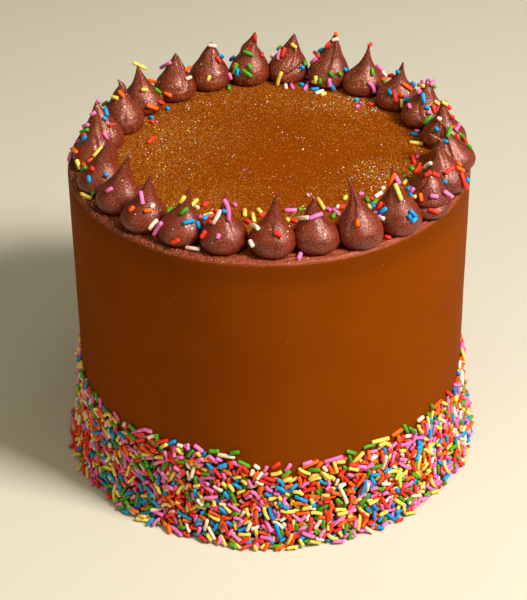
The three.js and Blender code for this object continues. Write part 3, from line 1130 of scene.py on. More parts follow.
    def crease(self, fold: Fold, angle: np.ndarray, share: np.ndarray, radius: np.ndarray) -> np.ndarray:
        """The depth of a fold's crease, with the ridge beside it.

        Args:
            fold: the fold.
            angle: each point's side.
            share: each point's share of the height.
            radius: each point's radius.

        Returns:
            How far each point moves inwards.
        """
        way_up = np.clip((share - fold.start) / (fold.end - fold.start), 0, 1)
        side = math.radians(fold.side) + math.radians(fold.twist) * (way_up - 0.5)
        across = turned_from(angle, side) * radius / (fold.width * MM)
        ends = smooth_step(share, fold.start - 0.06, fold.start + 0.1)
        ends = ends * (1 - smooth_step(share, fold.end - 0.1, fold.end + 0.04))
        valley = np.exp(-(across**2)) - 0.45 * np.exp(-((across - 1.7) ** 2))
        return fold.depth * MM * ends * valley * np.clip(radius / (2 * MM), 0, 1)

    def kept_apart(self, place: np.ndarray, index: int) -> np.ndarray:
        """Presses a dollop flat where it meets its two neighbours.

        Args:
            place: the x and y of its points.
            index: the dollop's number.

        Returns:
            The x and y of its points, each on its own side.
        """
        own = self.middle(index)
        for neighbour in (self.middle(index - 1), self.middle(index + 1)):
            apart = neighbour - own
            width = float(np.linalg.norm(apart))
            direction = apart / width
            beyond = (place - own) @ direction - (width - self.gap) / 2
            place = place - np.maximum(0, beyond)[:, None] * direction
        return place

    def dust(self, points: np.ndarray, index: int) -> np.ndarray:
        """How much gold lies on each point of a dollop: most of it inside and to the left.

        Args:
            points: the dollop's points.
            index: the dollop's number.

        Returns:
            The density of the gold dust.
        """
        own = self.middle(index)
        inward = unit(np.array(self.centre) - own)
        facing = (points[:, :2] - own) @ (0.8 * inward + np.array([-0.6, 0.1])) / self.radius
        back = 0.5 + 0.5 * own[1] / self.ring_radius
        left = 0.5 - 0.5 * own[0] / self.ring_radius
        strength = 0.18 + 0.14 * back + 0.06 * left
        return np.clip(strength * smooth_step(facing, -0.4, 0.9) + 0.01, 0, 0.5)


# ---------------------------------------------------------------- sprinkles


class Rod(NamedTuple):
    """One sprinkle as it lies: its middle, the way it points, the side it bulges to, its size and bend."""

    middle: np.ndarray
    along: np.ndarray
    side: np.ndarray
    length: float
    bend: float
    girth: float = 1.0

    def line(self, marks: np.ndarray) -> tuple[np.ndarray, np.ndarray, np.ndarray]:
        """The sprinkle's bent middle line.

        Args:
            marks: distances along it from its middle.

        Returns:
            The points of the line, the way it points there and the side it bulges to there.
        """
        turn = marks[:, None] / self.length * self.bend
        if abs(self.bend) < 0.02:
            points = self.middle + marks[:, None] * self.along
        else:
            bow = self.length / self.bend
            sag = bow * (1 - np.cos(turn)) - bow * (1 - math.cos(self.bend / 2)) / 2
            points = self.middle + bow * np.sin(turn) * self.along - sag * self.side
        ahead = np.cos(turn) * self.along - np.sin(turn) * self.side
        aside = np.cos(turn) * self.side + np.sin(turn) * self.along
        return points, ahead, aside


@dataclass
class SprinkleMould:
    """A sprinkle modelled once: a rod with rounded ends, and rings enough to bend."""

    radius: float = 1.06 * MM
    length: float = 6 * MM
    sides: int = 8
    shoulder: float = 0.38 * MM
    shoulder_inset: float = 0.42 * MM
    cuts: int = 3

    def model(self) -> "SprinkleMould":
        """Models the rod and keeps its points and faces.

        Returns:
            The mould, ready to cast.
        """
        deselect_all()
        depth = self.length - 2 * self.shoulder
        bpy.ops.mesh.primitive_cylinder_add(vertices=self.sides, radius=self.radius, depth=depth)
        rod = bpy.context.object
        bpy.ops.object.mode_set(mode="EDIT")
        if self.cuts:
            pick_edges(rod, lambda edge: abs(edge.verts[0].co.z - edge.verts[1].co.z) > depth / 2)
            bpy.ops.mesh.subdivide(number_cuts=self.cuts)
        for end in (-1, 1):
            pick_faces(rod, lambda face, end=end: face.normal.z * end > 0.9)
            bpy.ops.mesh.inset(thickness=self.shoulder_inset)
            bpy.ops.transform.translate(value=(0, 0, end * self.shoulder))
        bpy.ops.object.mode_set(mode="OBJECT")
        mesh = rod.data
        self.points = points_of(mesh)
        self.corners = np.array([loop.vertex_index for loop in mesh.loops])
        self.sizes = np.array([face.loop_total for face in mesh.polygons])
        bpy.data.objects.remove(rod)
        return self

    def cast(self, rod: Rod) -> np.ndarray:
        """The points of one sprinkle.

        Args:
            rod: how it lies.

        Returns:
            Its points, its rounded ends kept as they are at any length.
        """
        grip = self.length / 2 - self.shoulder
        up = self.points[:, 2]
        body = np.clip(up, -grip, grip) * (rod.length / 2 - self.shoulder) / grip
        marks = body + up - np.clip(up, -grip, grip)
        line, ahead, aside = rod.line(marks)
        across = np.cross(ahead, aside)
        return line + (self.points[:, :1] * aside + self.points[:, 1:2] * across) * rod.girth


@dataclass
class ManySmall:
    """Many small things of one kind, joined into one mesh."""

    name: str
    parts: list[tuple[np.ndarray, np.ndarray, np.ndarray, float]] = field(default_factory=list)

    def add(self, points: np.ndarray, corners: np.ndarray, sizes: np.ndarray, tone: float) -> None:
        """Keeps one small thing.

        Args:
            points: its points.
            corners: the points of its faces, face after face.
            sizes: how many corners each face has.
            tone: its own number from 0 to 1, for its finish.
        """
        self.parts.append((points, corners, sizes, tone))

    def join(self, finish: bpy.types.Material, slot: str) -> bpy.types.Object:
        """Joins them into a piece.

        Args:
            finish: its material.
            slot: not used.

        Returns:
            The piece, which rides on the cake.
        """
        starts = np.cumsum([0] + [len(points) for points, _, _, _ in self.parts])
        points = np.concatenate([part[0] for part in self.parts])
        corners = np.concatenate([part[1] + start for part, start in zip(self.parts, starts)])
        sizes = np.concatenate([part[2] for part in self.parts])
        mesh = bpy.data.meshes.new(self.name)
        mesh.vertices.add(len(points))
        mesh.vertices.foreach_set("co", points.astype(np.float32).ravel())
        mesh.loops.add(len(corners))
        mesh.loops.foreach_set("vertex_index", corners.astype(np.int32))
        mesh.polygons.add(len(sizes))
        mesh.polygons.foreach_set("loop_start", np.concatenate([[0], np.cumsum(sizes)[:-1]]).astype(np.int32))
        mesh.polygons.foreach_set("loop_total", sizes.astype(np.int32))
        mesh.update(calc_edges=True)
        tones = np.concatenate([np.full(len(part[0]), part[3]) for part in self.parts])
        write_attribute(mesh, "tone", tones)
        mesh.materials.append(finish)
        piece = bpy.data.objects.new(self.name, mesh)
        bpy.context.scene.collection.objects.link(piece)
        work_on(piece)
        bpy.ops.object.shade_smooth_by_angle(angle=math.radians(60))
        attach(piece, "root")
        return piece


@dataclass
class SprinkleBox:
    """All the sprinkles, sorted by colour as they are laid."""

    seed: int = 51
    bendable_from: float = math.radians(9)

    def __post_init__(self) -> None:
        """Models the two moulds and opens an empty pile for each colour."""
        self.random = np.random.default_rng(self.seed)
        self.straight = SprinkleMould(cuts=0).model()
        self.bendable = SprinkleMould().model()
        self.piles = {kind: ManySmall(f"sprinkles_{kind.value.name}") for kind in KINDS}

    def lay(self, rod: Rod, kind: Kind | None = None) -> None:
        """Lays one sprinkle.

        Args:
            rod: how it lies.
            kind: its colour, or any one.
        """
        kind = kind or KINDS[self.random.choice(len(KINDS), p=SHARES)]
        mould = self.bendable if abs(rod.bend) > self.bendable_from else self.straight
        tone = float(self.random.beta(2.2, 1.4))
        self.piles[kind].add(mould.cast(rod), mould.corners, mould.sizes, tone)

    def join(self) -> list[bpy.types.Object]:
        """Joins each colour's sprinkles into its piece."""
        return [
            pile.join(kind.value.material(), f"sprinkle_{kind.value.name}")
            for kind, pile in self.piles.items()
        ]


@dataclass
class SprinkleBand:
    """The band of sprinkles round the foot, settled one by one on the buttercream and on each other."""

    band: BandForm = field(default_factory=BandForm)
    seed: int = 77
    tries: int = 24000
    turns_tried: int = 8
    radius: float = 0.97 * MM
    pressed_in: float = 0.5
    closeness: float = 0.88
    cell: float = 4 * MM
    reach: float = 8 * MM
    under_layer: float = 0.5
    shortest: float = 2.6 * MM
    common: float = 4.9 * MM
    longest: float = 10 * MM
    ball_step: float = 1.5 * MM
    ragged: float = 2.1 * MM
    edge_zone: float = 9 * MM
    slope_step: float = 1.5 * MM
    bent_share: float = 0.65
    bend: float = 0.65
    tilt_pressed: float = 0.16
    tilt_loose: float = 0.42
    barred: float = 1.0
    girths: tuple[float, float] = (0.84, 0.99)

    def __post_init__(self) -> None:
        """Starts with a bare band."""
        self.random = np.random.default_rng(self.seed)
        self.balls: list[np.ndarray] = []
        self.cells: dict[tuple[int, int], list[int]] = defaultdict(list)

    def top(self, angle: float) -> float:
        """Height of the ragged edge where the sprinkles end."""
        return float(self.band.top(angle) + self.ragged * round_wave(angle, (43, 71, 101), 0.9))

    def settle(self, box: SprinkleBox, side: "Ground") -> int:
        """Lays the whole band: an under layer pressed in the frosting, then the loose ones on it.

        Args:
            box: the box that the sprinkles are laid from.
            side: the frosting that the sprinkles of the top edge are seen on.

        Returns:
            How many were laid.
        """
        edge = [(side.seen_rod(mark), kind) for kind, marks in EDGE.items() for mark in marks]
        for rod, kind in edge:
            box.lay(rod, kind)
            self.remember(rod)
        laid = len(edge)
        for i in range(self.tries):
            angle = self.random.uniform(0, 2 * math.pi)
            top = self.top(angle) - 0.6 * self.radius
            height = self.radius + (top - self.radius) * self.random.uniform() ** 1.12
            loose = i > self.under_layer * self.tries
            rod = self.best_place(angle, height, loose)
            if rod is not None:
                box.lay(rod)
                self.remember(rod)
                laid += 1
        return laid

    def surface(self, angle: float, height: float) -> tuple[np.ndarray, np.ndarray, np.ndarray, float]:
        """The band's outer surface at a place.

        Args:
            angle: the angle round the cake.
            height: the height above the foot.

        Returns:
            The point on the buttercream under it, the outward normal, the way uphill, and the depth between.
        """
        heights, radii = self.band.outline(angle)
        step = self.slope_step
        low, outer, high = np.interp([max(0, height - step), height, height + step], heights, radii)
        slope = unit(np.array([high - low, min(height, step) + step]))
        outward = np.array([math.cos(angle), math.sin(angle), 0.0])
        upward = np.array([0.0, 0.0, 1.0])
        normal = slope[1] * outward - slope[0] * upward
        uphill = slope[0] * outward + slope[1] * upward
        core = float(self.band.core(angle, height))
        depth = max((outer - core) * slope[1], 1.3 * self.radius)
        return outer * outward + height * upward - depth * normal, normal, uphill, depth

    def best_place(self, angle: float, height: float, loose: bool) -> Rod | None:
        """Finds how a sprinkle comes to lie deepest at a place.

        Args:
            angle: the angle round the cake.
            height: the height above the foot.
            loose: whether it may lie on top of others.

        Returns:
            The sprinkle as it lies, or nothing where it would stand out of the band.
        """
        start, normal, uphill, depth = self.surface(angle, height)
        random, count = self.random, self.turns_tried
        length = float(random.triangular(self.shortest, self.common, self.longest))
        bent = random.uniform() < self.bent_share
        bend = float(random.normal() * self.bend) if bent else 0.0
        across = np.cross(uphill, normal)
        turns = random.uniform(0, math.pi, count)
        tilt = random.normal(0, self.tilt_loose if loose else self.tilt_pressed, count)
        along = np.cos(turns)[:, None] * across + np.sin(turns)[:, None] * uphill + tilt[:, None] * normal
        along = unit(along)
        marks = self.marks(length)
        seat = start + normal * self.radius * (1 - self.pressed_in)
        line = seat + marks[None, :, None] * along[:, None, :]
        lift = self.lifted(line, normal, angle, height)
        top = self.top(angle)
        lifted = line + lift[:, None, None] * normal
        low = lifted[:, :, 2].min(1) < 1.3 * self.radius
        high = lifted[:, :, 2].max(1) > top + 1.1 * self.radius
        reach = np.hypot(lifted[:, :, 0], lifted[:, :, 1]).min(1)
        sunk = (height > top - self.edge_zone) & (reach < self.band.radius + 0.25 * self.radius)
        lift = lift + self.barred * (low | high | sunk)
        best = int(lift.argmin())
        near_top = math.exp(-(top - height) / (7 * MM))
        spare = random.uniform(0.2, 1.5 - near_top) if loose else random.uniform(-1.3, -0.7)
        if lift[best] > max(depth + spare * self.radius, 0.2 * self.radius):
            return None
        side = unit(np.cross(normal, along[best]))
        return Rod(seat + normal * lift[best], along[best], side, length, bend, random.uniform(*self.girths))

    def marks(self, length: float) -> np.ndarray:
        """Where the points that others rest on lie along a sprinkle."""
        return np.linspace(-0.5, 0.5, 2 + int(length / self.ball_step)) * (length - 1.2 * self.radius)

    def lifted(self, line: np.ndarray, normal: np.ndarray, angle: float, height: float) -> np.ndarray:
        """How far each way of lying is lifted by the sprinkles already there.

        Args:
            line: for each way of lying, the points of its middle line.
            normal: the way out of the band.
            angle: the angle round the cake.
            height: the height above the foot.

        Returns:
            The lift of each way of lying.
        """
        near = self.neighbours(angle, height)
        if len(near) == 0:
            return np.zeros(len(line))
        apart = line[:, :, None, :] - near[None, None, :, :]
        along = apart @ normal
        clear = (2 * self.radius * self.closeness) ** 2
        inside = along**2 - (apart**2).sum(-1) + clear
        rise = np.where(inside > 0, np.sqrt(np.maximum(inside, 0)) - along, 0.0)
        return np.maximum(rise.max((1, 2)), 0.0)

    def cell_of(self, angle: float, height: float) -> tuple[int, int]:
        """The cell of the band that a place falls in."""
        return int((angle % (2 * math.pi)) * self.band.radius // self.cell), int(height // self.cell)

    def neighbours(self, angle: float, height: float) -> np.ndarray:
        """The points of the sprinkles that lie near a place."""
        column, row = self.cell_of(angle, height)
        round_cells = int(2 * math.pi * self.band.radius // self.cell) + 1
        span = int(self.reach // self.cell)
        found = [
            ball
            for i in range(column - span, column + span + 1)
            for j in range(row - span, row + span + 1)
            for ball in self.cells.get((i % round_cells, j), ())
        ]
        return np.array([self.balls[ball] for ball in found])

    def remember(self, rod: Rod) -> None:
        """Keeps the points of a laid sprinkle, so that others rest on it."""
        for point in rod.line(self.marks(rod.length))[0]:
            here = self.cell_of(math.atan2(point[1], point[0]), point[2])
            self.cells[here].append(len(self.balls))
            self.balls.append(point)


# Sprinkles that show on the dollops, the top and the ledge: the photograph's pixels of their two
# ends, and how many degrees they bend, to the left of the way from the first end to the second.
SEEN: dict[Kind, tuple[tuple[float, ...], ...]] = {
    Kind.PINK: (
        (106, 191.5, 112.5, 188), (140.5, 191, 143, 204.5), (153.5, 235, 161.5, 222, 25),
        (199.5, 217, 202, 217.5), (225, 198.5, 229.5, 220.5, 50), (232.5, 203.5, 236.5, 205.5),
        (217, 238.5, 219.5, 234), (284.5, 210.5, 297, 210), (309, 218.5, 322.5, 213.5),
        (326, 208, 331, 210.5), (333, 209, 339.5, 215), (359.5, 194, 363, 193.5),
        (372.5, 210.5, 378.5, 217), (395.5, 176, 399.5, 184), (298.5, 260, 301, 252.5),
        (417.5, 93.5, 420.5, 89.5), (408.5, 104, 410, 108), (428, 112.5, 431, 112.5),
        (455.5, 130.5, 459.5, 124), (416, 131, 418, 131), (416.5, 158, 419.5, 155),
        (409.5, 193, 414, 188), (430, 196, 438.5, 196.5), (444.5, 191.5, 452.5, 197),
        (159, 68, 170.5, 61.5), (229, 73, 231, 79.5), (291, 84, 293, 88.5),
        (277.5, 59.5, 280.5, 49.5), (310.5, 63.5, 317, 57.5), (304.5, 90, 308.5, 82.5),
        (329.5, 78.5, 329.5, 87), (368.5, 81.5, 375.5, 93, 60), (378.5, 63.5, 388.5, 72.5),
        (356.5, 107, 358.5, 106), (419, 79.5, 421.5, 81), (429, 79.5, 431.5, 81),
        (433, 83.5, 435.5, 79.5), (100, 98, 102.5, 99.5), (90.5, 115.5, 95.5, 112),
        (83, 126.5, 88.5, 124.5), (77.5, 142.5, 80.5, 141.5), (69.5, 161.5, 72, 154.5),
        (103.5, 132, 107.5, 139),
    ),
    Kind.RED: (
        (208, 217.5, 213.5, 215), (207, 220.5, 211.5, 222), (215, 211.5, 218.5, 210),
        (203, 206, 207.5, 202.5), (201, 238, 205.5, 231, 25), (171.5, 243, 179.5, 239.5, -25),
        (259.5, 216, 265, 213), (244.5, 220.5, 250.5, 222.5), (244.5, 243, 250.5, 232),
        (274, 232.5, 282.5, 236), (290, 219.5, 297.5, 222), (340, 208.5, 344.5, 205),
        (370, 198, 373, 199), (377, 209.5, 382, 202), (384.5, 236, 391, 238.5),
        (393.5, 89.5, 396.5, 102.5), (400.5, 95, 402.5, 96), (432.5, 104.5, 435.5, 113),
        (437, 112, 439.5, 106.5), (445, 98.5, 453, 106.5), (451, 116.5, 453.5, 118),
        (452, 128, 457.5, 125.5), (456.5, 134.5, 459, 139.5), (464.5, 138.5, 466.5, 144),
        (412, 155, 414.5, 163), (413.5, 176, 422, 161, -15), (424.5, 175.5, 431.5, 172.5, 15),
        (432.5, 173, 439, 176), (444.5, 173.5, 454.5, 167, 20), (461, 172.5, 466.5, 190),
        (465, 183, 467.5, 188), (428.5, 209.5, 439.5, 212.5), (158.5, 101.5, 164, 103.5),
        (216.5, 56.5, 220.5, 62.5), (255.5, 34, 255.5, 41), (262, 52, 262.5, 57),
        (281.5, 57, 285, 47.5), (325.5, 48, 330, 42), (310.5, 48.5, 316.5, 54),
        (368, 46, 371.5, 43.5), (387.5, 74, 392.5, 76, 100), (368.5, 104, 375, 104.5),
        (84, 135, 86.5, 134), (83, 164, 85, 165.5), (91, 166.5, 93.5, 170.5),
        (109, 126, 113, 123.5), (148, 143, 154.5, 137), (151, 121.5, 154, 122.5),
    ),
    Kind.ORANGE: (
        (129.5, 211, 134, 206.5), (144, 211, 152.5, 210), (357.5, 219.5, 357.5, 226.5),
        (387.5, 186, 395, 173.5), (456.5, 167, 464, 171.5), (457, 162.5, 461, 165.5),
        (420, 193, 421.5, 201.5), (148.5, 81.5, 156, 81), (184, 71.5, 191.5, 66.5),
        (162.5, 99.5, 170, 103), (146.5, 105.5, 158, 109), (118.5, 90.5, 124, 97),
        (233.5, 68, 236.5, 63), (335.5, 32, 338, 36.5), (382.5, 79.5, 386.5, 78.5),
        (402, 83, 412, 90), (71.5, 149, 76.5, 152), (88, 162, 93.5, 159),
    ),
    Kind.YELLOW: (
        (83.5, 193, 92, 197, -20), (180, 203, 185, 196), (190, 207, 197.5, 199.5),
        (203, 216, 213, 213.5), (244.7, 209.5, 244.7, 216), (257.5, 209, 261.5, 213),
        (252.5, 213.5, 254, 221.5), (286.5, 218.5, 289, 221), (317, 197.5, 325, 210),
        (344, 199.5, 346.5, 196), (368.5, 205, 370.5, 209), (395, 183.5, 401.5, 200.5),
        (403.5, 184, 406.5, 180.5), (402, 99, 402, 107.5), (434.5, 101, 439.5, 104.5),
        (442, 102, 447, 105.5), (409.5, 142.3, 423.5, 143.8), (412.5, 197.5, 416.5, 196.5),
        (133, 62.5, 146, 68.5), (141, 89.5, 148, 89.5, -60), (111.5, 96.5, 118, 98.5),
        (207.5, 81, 210, 75.5), (282, 72.5, 277.5, 86, -20), (291, 43.5, 296.5, 48),
        (311.5, 79.5, 311.5, 87.5), (312, 82, 316.5, 81.5), (321, 95, 326, 93),
        (417.5, 84.5, 423, 85.5), (76.5, 159.5, 80, 169.5), (93.5, 156.5, 102, 147),
    ),
    Kind.GREEN: (
        (92.5, 198, 96.5, 196), (165, 214.5, 172, 209), (180.5, 214, 187.5, 208),
        (298.5, 210, 302, 208.5), (332.5, 218, 334.5, 213.5), (366, 197.5, 368.5, 201.5),
        (373.5, 203.5, 377, 199.5), (423, 124, 432.5, 115), (446.5, 137.5, 450.5, 126),
        (458, 133, 464, 137.5), (468, 145, 471.5, 148.5), (411, 167, 412.5, 170),
        (155, 88.5, 161, 93.5), (100.5, 103.5, 106, 101.5), (243, 51.5, 253.5, 55.5),
        (227.5, 72, 231, 61), (247.5, 63.5, 251.5, 70), (242, 69.5, 252, 77),
        (229, 85.5, 229, 89.5), (276.5, 49.5, 281.5, 46), (305, 60.5, 305, 65.5),
        (320, 78.5, 320, 84), (329, 71.5, 333.5, 77), (339, 72, 341.5, 76),
        (372, 68, 373, 76), (383, 81, 385.5, 82.5), (435.5, 84.5, 437.5, 86),
        (80.5, 132.5, 88, 129.5), (82, 168, 86, 167.5),
    ),
    Kind.BLUE: (
        (88.3, 175.5, 89.7, 182.5), (104.5, 174, 108, 176), (183, 223, 194.5, 220.5),
        (197, 221, 200, 228.5, -30), (203.5, 219.5, 209.5, 214.5), (223, 211, 226.5, 211),
        (371.5, 203, 375, 208.5), (378, 214, 386.5, 208), (401.5, 101.5, 412, 99),
        (422.5, 93, 424.5, 103.5), (425.5, 107.5, 429, 107.5), (436, 127, 437.5, 131),
        (443, 138, 447.5, 143), (411, 133.5, 418.5, 135), (443.5, 181.5, 446, 182),
        (466.5, 180, 469, 180), (407.5, 190, 410.5, 187), (409.5, 193.5, 412.5, 197),
        (409.5, 210, 416.5, 217), (408.5, 215, 411, 219), (412, 222, 416.5, 217.5),
        (166.5, 108, 168.5, 109), (150, 117, 153, 118.5), (105, 107.5, 107.5, 116),
        (103.5, 118, 106, 119), (219, 55, 223, 57), (227, 58, 232, 55),
        (237.5, 68.5, 237.5, 76), (318.5, 51.5, 323, 49), (301, 65.5, 303, 67),
        (311, 89.5, 319, 88.5), (322, 87.5, 336.5, 93), (344, 69, 346.5, 70.5),
        (354.5, 100, 358.5, 99.5), (397, 71.5, 399, 72.5), (388.5, 89.5, 391.5, 94.5),
        (414, 79, 418, 83), (300.5, 84, 303, 85), (82.5, 140.5, 86, 136),
    ),
    Kind.CREAM: (
        (151, 207.5, 154, 204.5), (148.8, 229.5, 157.5, 219.5, 35), (213, 224, 221, 210),
        (196, 206.5, 198, 208), (186.5, 249.0, 200.5, 250.4), (251, 224, 258.5, 228.5, 20),
        (249.5, 240, 253, 247), (296.5, 218.2, 308.5, 217.6), (308.5, 195, 310, 195.2),
        (337, 208, 338.5, 206), (375, 197, 382, 192), (381.5, 218, 383, 218.5),
        (382, 189.5, 384, 187), (437.5, 118, 441, 119.5), (423.5, 168, 431.5, 162.5, 50),
        (186.5, 79, 191, 77), (208, 45, 216.5, 46.5),
        (285.5, 84, 286, 88), (270, 57, 273.5, 54), (331.5, 40.5, 338.5, 38.5),
        (306, 77, 309.5, 77.5), (315.5, 93.5, 323.5, 90.5), (382, 71.5, 386.5, 76.5),
    ),
}


@dataclass
class TopSprinkles:
    """The sprinkles strewn over the dollops, the top and the ledge."""

    ground: "Ground"
    ring: DollopRing
    hidden_each: int = 9
    seed: int = 9
    facing: float = math.radians(90)
    spread: float = 0.8
    rises: tuple[float, float] = (0.08, 0.6)
    upward: float = 0.25
    from_outside: float = 25 * MM
    lengths: tuple[float, float, float] = (3 * MM, 5.5 * MM, 9 * MM)
    bend: float = 0.25

    def strew(self, box: SprinkleBox) -> int:
        """Lays the sprinkles that the photograph shows, and others where it doesn't look.

        Args:
            box: the box that they are laid from.

        Returns:
            How many were laid.
        """
        seen = [(self.ground.seen_rod(mark), kind) for kind, marks in SEEN.items() for mark in marks]
        hidden = [(rod, None) for rod in self.hidden_rods() if not self.ground.shows(rod)]
        for rod, kind in seen + hidden:
            box.lay(rod, kind)
        return len(seen) + len(hidden)

    def hidden_rods(self) -> list[Rod]:
        """Sprinkles on the faces of the dollops that the photograph doesn't show."""
        random = np.random.default_rng(self.seed)
        rods = []
        for index in np.repeat(np.arange(len(DOLLOPS)), self.hidden_each):
            facing = self.facing + random.normal() * self.spread
            rise = self.ring.foot + random.uniform(*self.rises) * DOLLOPS[index].height * MM
            outward = Vector((math.cos(facing), math.sin(facing), self.upward))
            start = Vector((*self.ring.middle(index), rise)) + outward * self.from_outside
            hit, normal = (np.array(found) for found in self.ground.cast(start, -outward))
            level = np.cross(normal, [0.0, 0.0, 1.0])
            level = unit(level) if np.linalg.norm(level) > 1e-3 else np.array([1.0, 0.0, 0.0])
            turn = random.uniform(0, math.pi)
            along = math.cos(turn) * level + math.sin(turn) * np.cross(level, normal)
            length = random.triangular(*self.lengths)
            rods.append(self.ground.resting(hit, normal, along, length, random.normal() * self.bend))
        return rods


@dataclass
class Ground:
    """The surfaces that small things lie on, and the eye that sees where some of them lie."""

    view: Viewpoint
    tree: BVHTree
    lowest: float
    radius: float = 1.06 * MM
    sunk: float = 0.14
    shortest: float = 2.6 * MM
    longest: float = 11 * MM
    aims: int = 4
    step: float = 8 * MM
    least_slant: float = 0.35
    depths: tuple[float, float] = (850 * MM, 1200 * MM)
    depth_steps: int = 141
    near_end: float = 0.42

    def seen_rod(self, mark: tuple[float, ...]) -> Rod:
        """A sprinkle that shows, laid on what its pixel looks at.

        Args:
            mark: the pixels of its two ends, and its bend.

        Returns:
            The sprinkle as it lies.
        """
        bend = math.radians(mark[4]) if len(mark) > 4 else 0.0
        ends = self.view.ray(*mark[:2]), self.view.ray(*mark[2:4])
        middle = aim = (ends[0] + ends[1]) / 2
        best, least, deep = None, math.inf, None
        for _ in range(self.aims):
            rod, depth = self.rod_seen(aim, ends, bend)
            deep = deep or depth
            if abs(depth - deep) > self.step:
                break
            miss = sum((self.sight(rod, share) - end).length for share, end in zip((-0.5, 0.5), ends))
            if miss < least:
                best, least = rod, miss
            aim = aim + middle - self.sight(rod, 0.0)
        return best

    def sight(self, rod: Rod, share: float) -> Vector:
        """The line of sight to a point of a sprinkle, one metre deep, by its share of the length."""
        lies = Vector(rod.middle + share * rod.length * rod.along) - self.view.place()
        return lies / lies.dot(self.view.axes()[2])

    def rod_seen(self, aim: Vector, ends: tuple[Vector, Vector], bend: float) -> tuple[Rod, float]:
        """A sprinkle on what a line of sight meets.

        Args:
            aim: the line of sight.
            ends: the lines of sight to its two ends.
            bend: its bend.

        Returns:
            The sprinkle as it lies there, and how deep in the view it lies.
        """
        eye = self.view.place()
        hit, normal = self.cast(eye, aim)
        depth = (hit - eye).dot(self.view.axes()[2])
        across = (ends[1] - ends[0]) * depth
        facing = aim.normalized()
        slant = max(-normal.dot(facing), self.least_slant)
        along = across + facing * (normal.dot(across) / slant)
        length = min(max(along.length, self.shortest), self.longest)
        rod = self.resting(np.array(hit), np.array(normal), np.array(along.normalized()), length, bend)
        return rod, depth

    def cast(self, eye: Vector, ray: Vector) -> tuple[Vector, Vector]:
        """What a line of sight meets, or else the surface that it passes closest to.

        Args:
            eye: where it starts.
            ray: its direction.

        Returns:
            The point and its outward normal.
        """
        hit, normal, _, _ = self.tree.ray_cast(eye, ray.normalized())
        if hit is None or hit.z < self.lowest:
            nearest = [
                self.tree.find_nearest(eye + ray.normalized() * distance)
                for distance in np.linspace(*self.depths, self.depth_steps)
            ]
            hit, normal, _, _ = min(nearest, key=lambda found: found[3])
        return hit, normal

    def shows(self, rod: Rod) -> bool:
        """Whether the photograph's viewpoint sees any part of a sprinkle."""
        eye = self.view.place()
        over = np.cross(rod.along, rod.side)
        for end in (-0.5, -0.25, 0, 0.25, 0.5):
            for lift in (-1, 1):
                spot = Vector(rod.middle + end * rod.length * rod.along + lift * self.radius * over)
                if self.tree.ray_cast(spot, (eye - spot).normalized())[0] is None:
                    return True
        return False

    def resting(
        self, point: np.ndarray, normal: np.ndarray, along: np.ndarray, length: float, bend: float,
    ) -> Rod:
        """A sprinkle sunk a little in a surface, lifted where its ends would dip in deeper.

        Args:
            point: the point of the surface under its middle.
            normal: the surface's normal there.
            along: the way it points.
            length: its length.
            bend: its bend.

        Returns:
            The sprinkle as it lies.
        """
        wanted = self.radius * (1 - 2 * self.sunk)
        middle = point + normal * wanted
        for _ in range(3):
            reach = along * length * self.near_end
            low, mid, high = (self.missing(middle + way * reach, wanted) for way in (-1, 0, 1))
            middle = middle + normal * max(mid, (low + high) / 2)
            along = unit(2 * reach + normal * (high - low))
        return Rod(middle, along, unit(np.cross(normal, along)), length, bend)

    def missing(self, spot: np.ndarray, wanted: float) -> float:
        """How much higher a point has to be to stand clear of the surface."""
        near, out, _, _ = self.tree.find_nearest(Vector(spot))
        return max(0.0, wanted - float((Vector(spot) - near).dot(out)))


# Sprinkles along the band's top edge, read in the same way.
EDGE: dict[Kind, tuple[tuple[float, ...], ...]] = {
    Kind.PINK: (
        (132, 433, 143, 430), (143, 429, 152, 432, 20), (194, 445, 203, 452, 15), (232, 462, 246, 468),
        (285, 471, 291, 464), (302.5, 464.5, 312.5, 461.5), (324, 462, 343, 456.5),
    ),
    Kind.GREEN: (
        (156.5, 434, 158, 446), (209, 451, 219, 451, -50), (230, 453, 239.5, 452), (238, 461, 250, 467),
        (346.5, 451, 356, 453.5), (404, 425, 407.5, 432.5), (431.5, 404, 431.5, 409),
        (427.5, 413.5, 430, 416),
    ),
    Kind.BLUE: ((166, 445, 175.5, 441),),
    Kind.CREAM: (
        (96, 462, 105, 457), (217.5, 454.5, 235, 457.5), (254, 465, 259.5, 469),
        (417.5, 421.5, 423.5, 416.5), (451, 385, 460, 400),
    ),
    Kind.RED: ((271.5, 468, 280, 463), (446.5, 391.5, 452.5, 396)),
    Kind.ORANGE: (
        (302.5, 467.5, 319, 460.5), (316, 468.5, 322.5, 462), (392, 436, 402.5, 429),
        (433.5, 408, 441.5, 400),
    ),
    Kind.YELLOW: ((282, 472, 270.5, 475, 45), (352.5, 463, 364, 452), (370, 443, 391, 437.5)),
}


# ---------------------------------------------------------------- gold dust and glitter


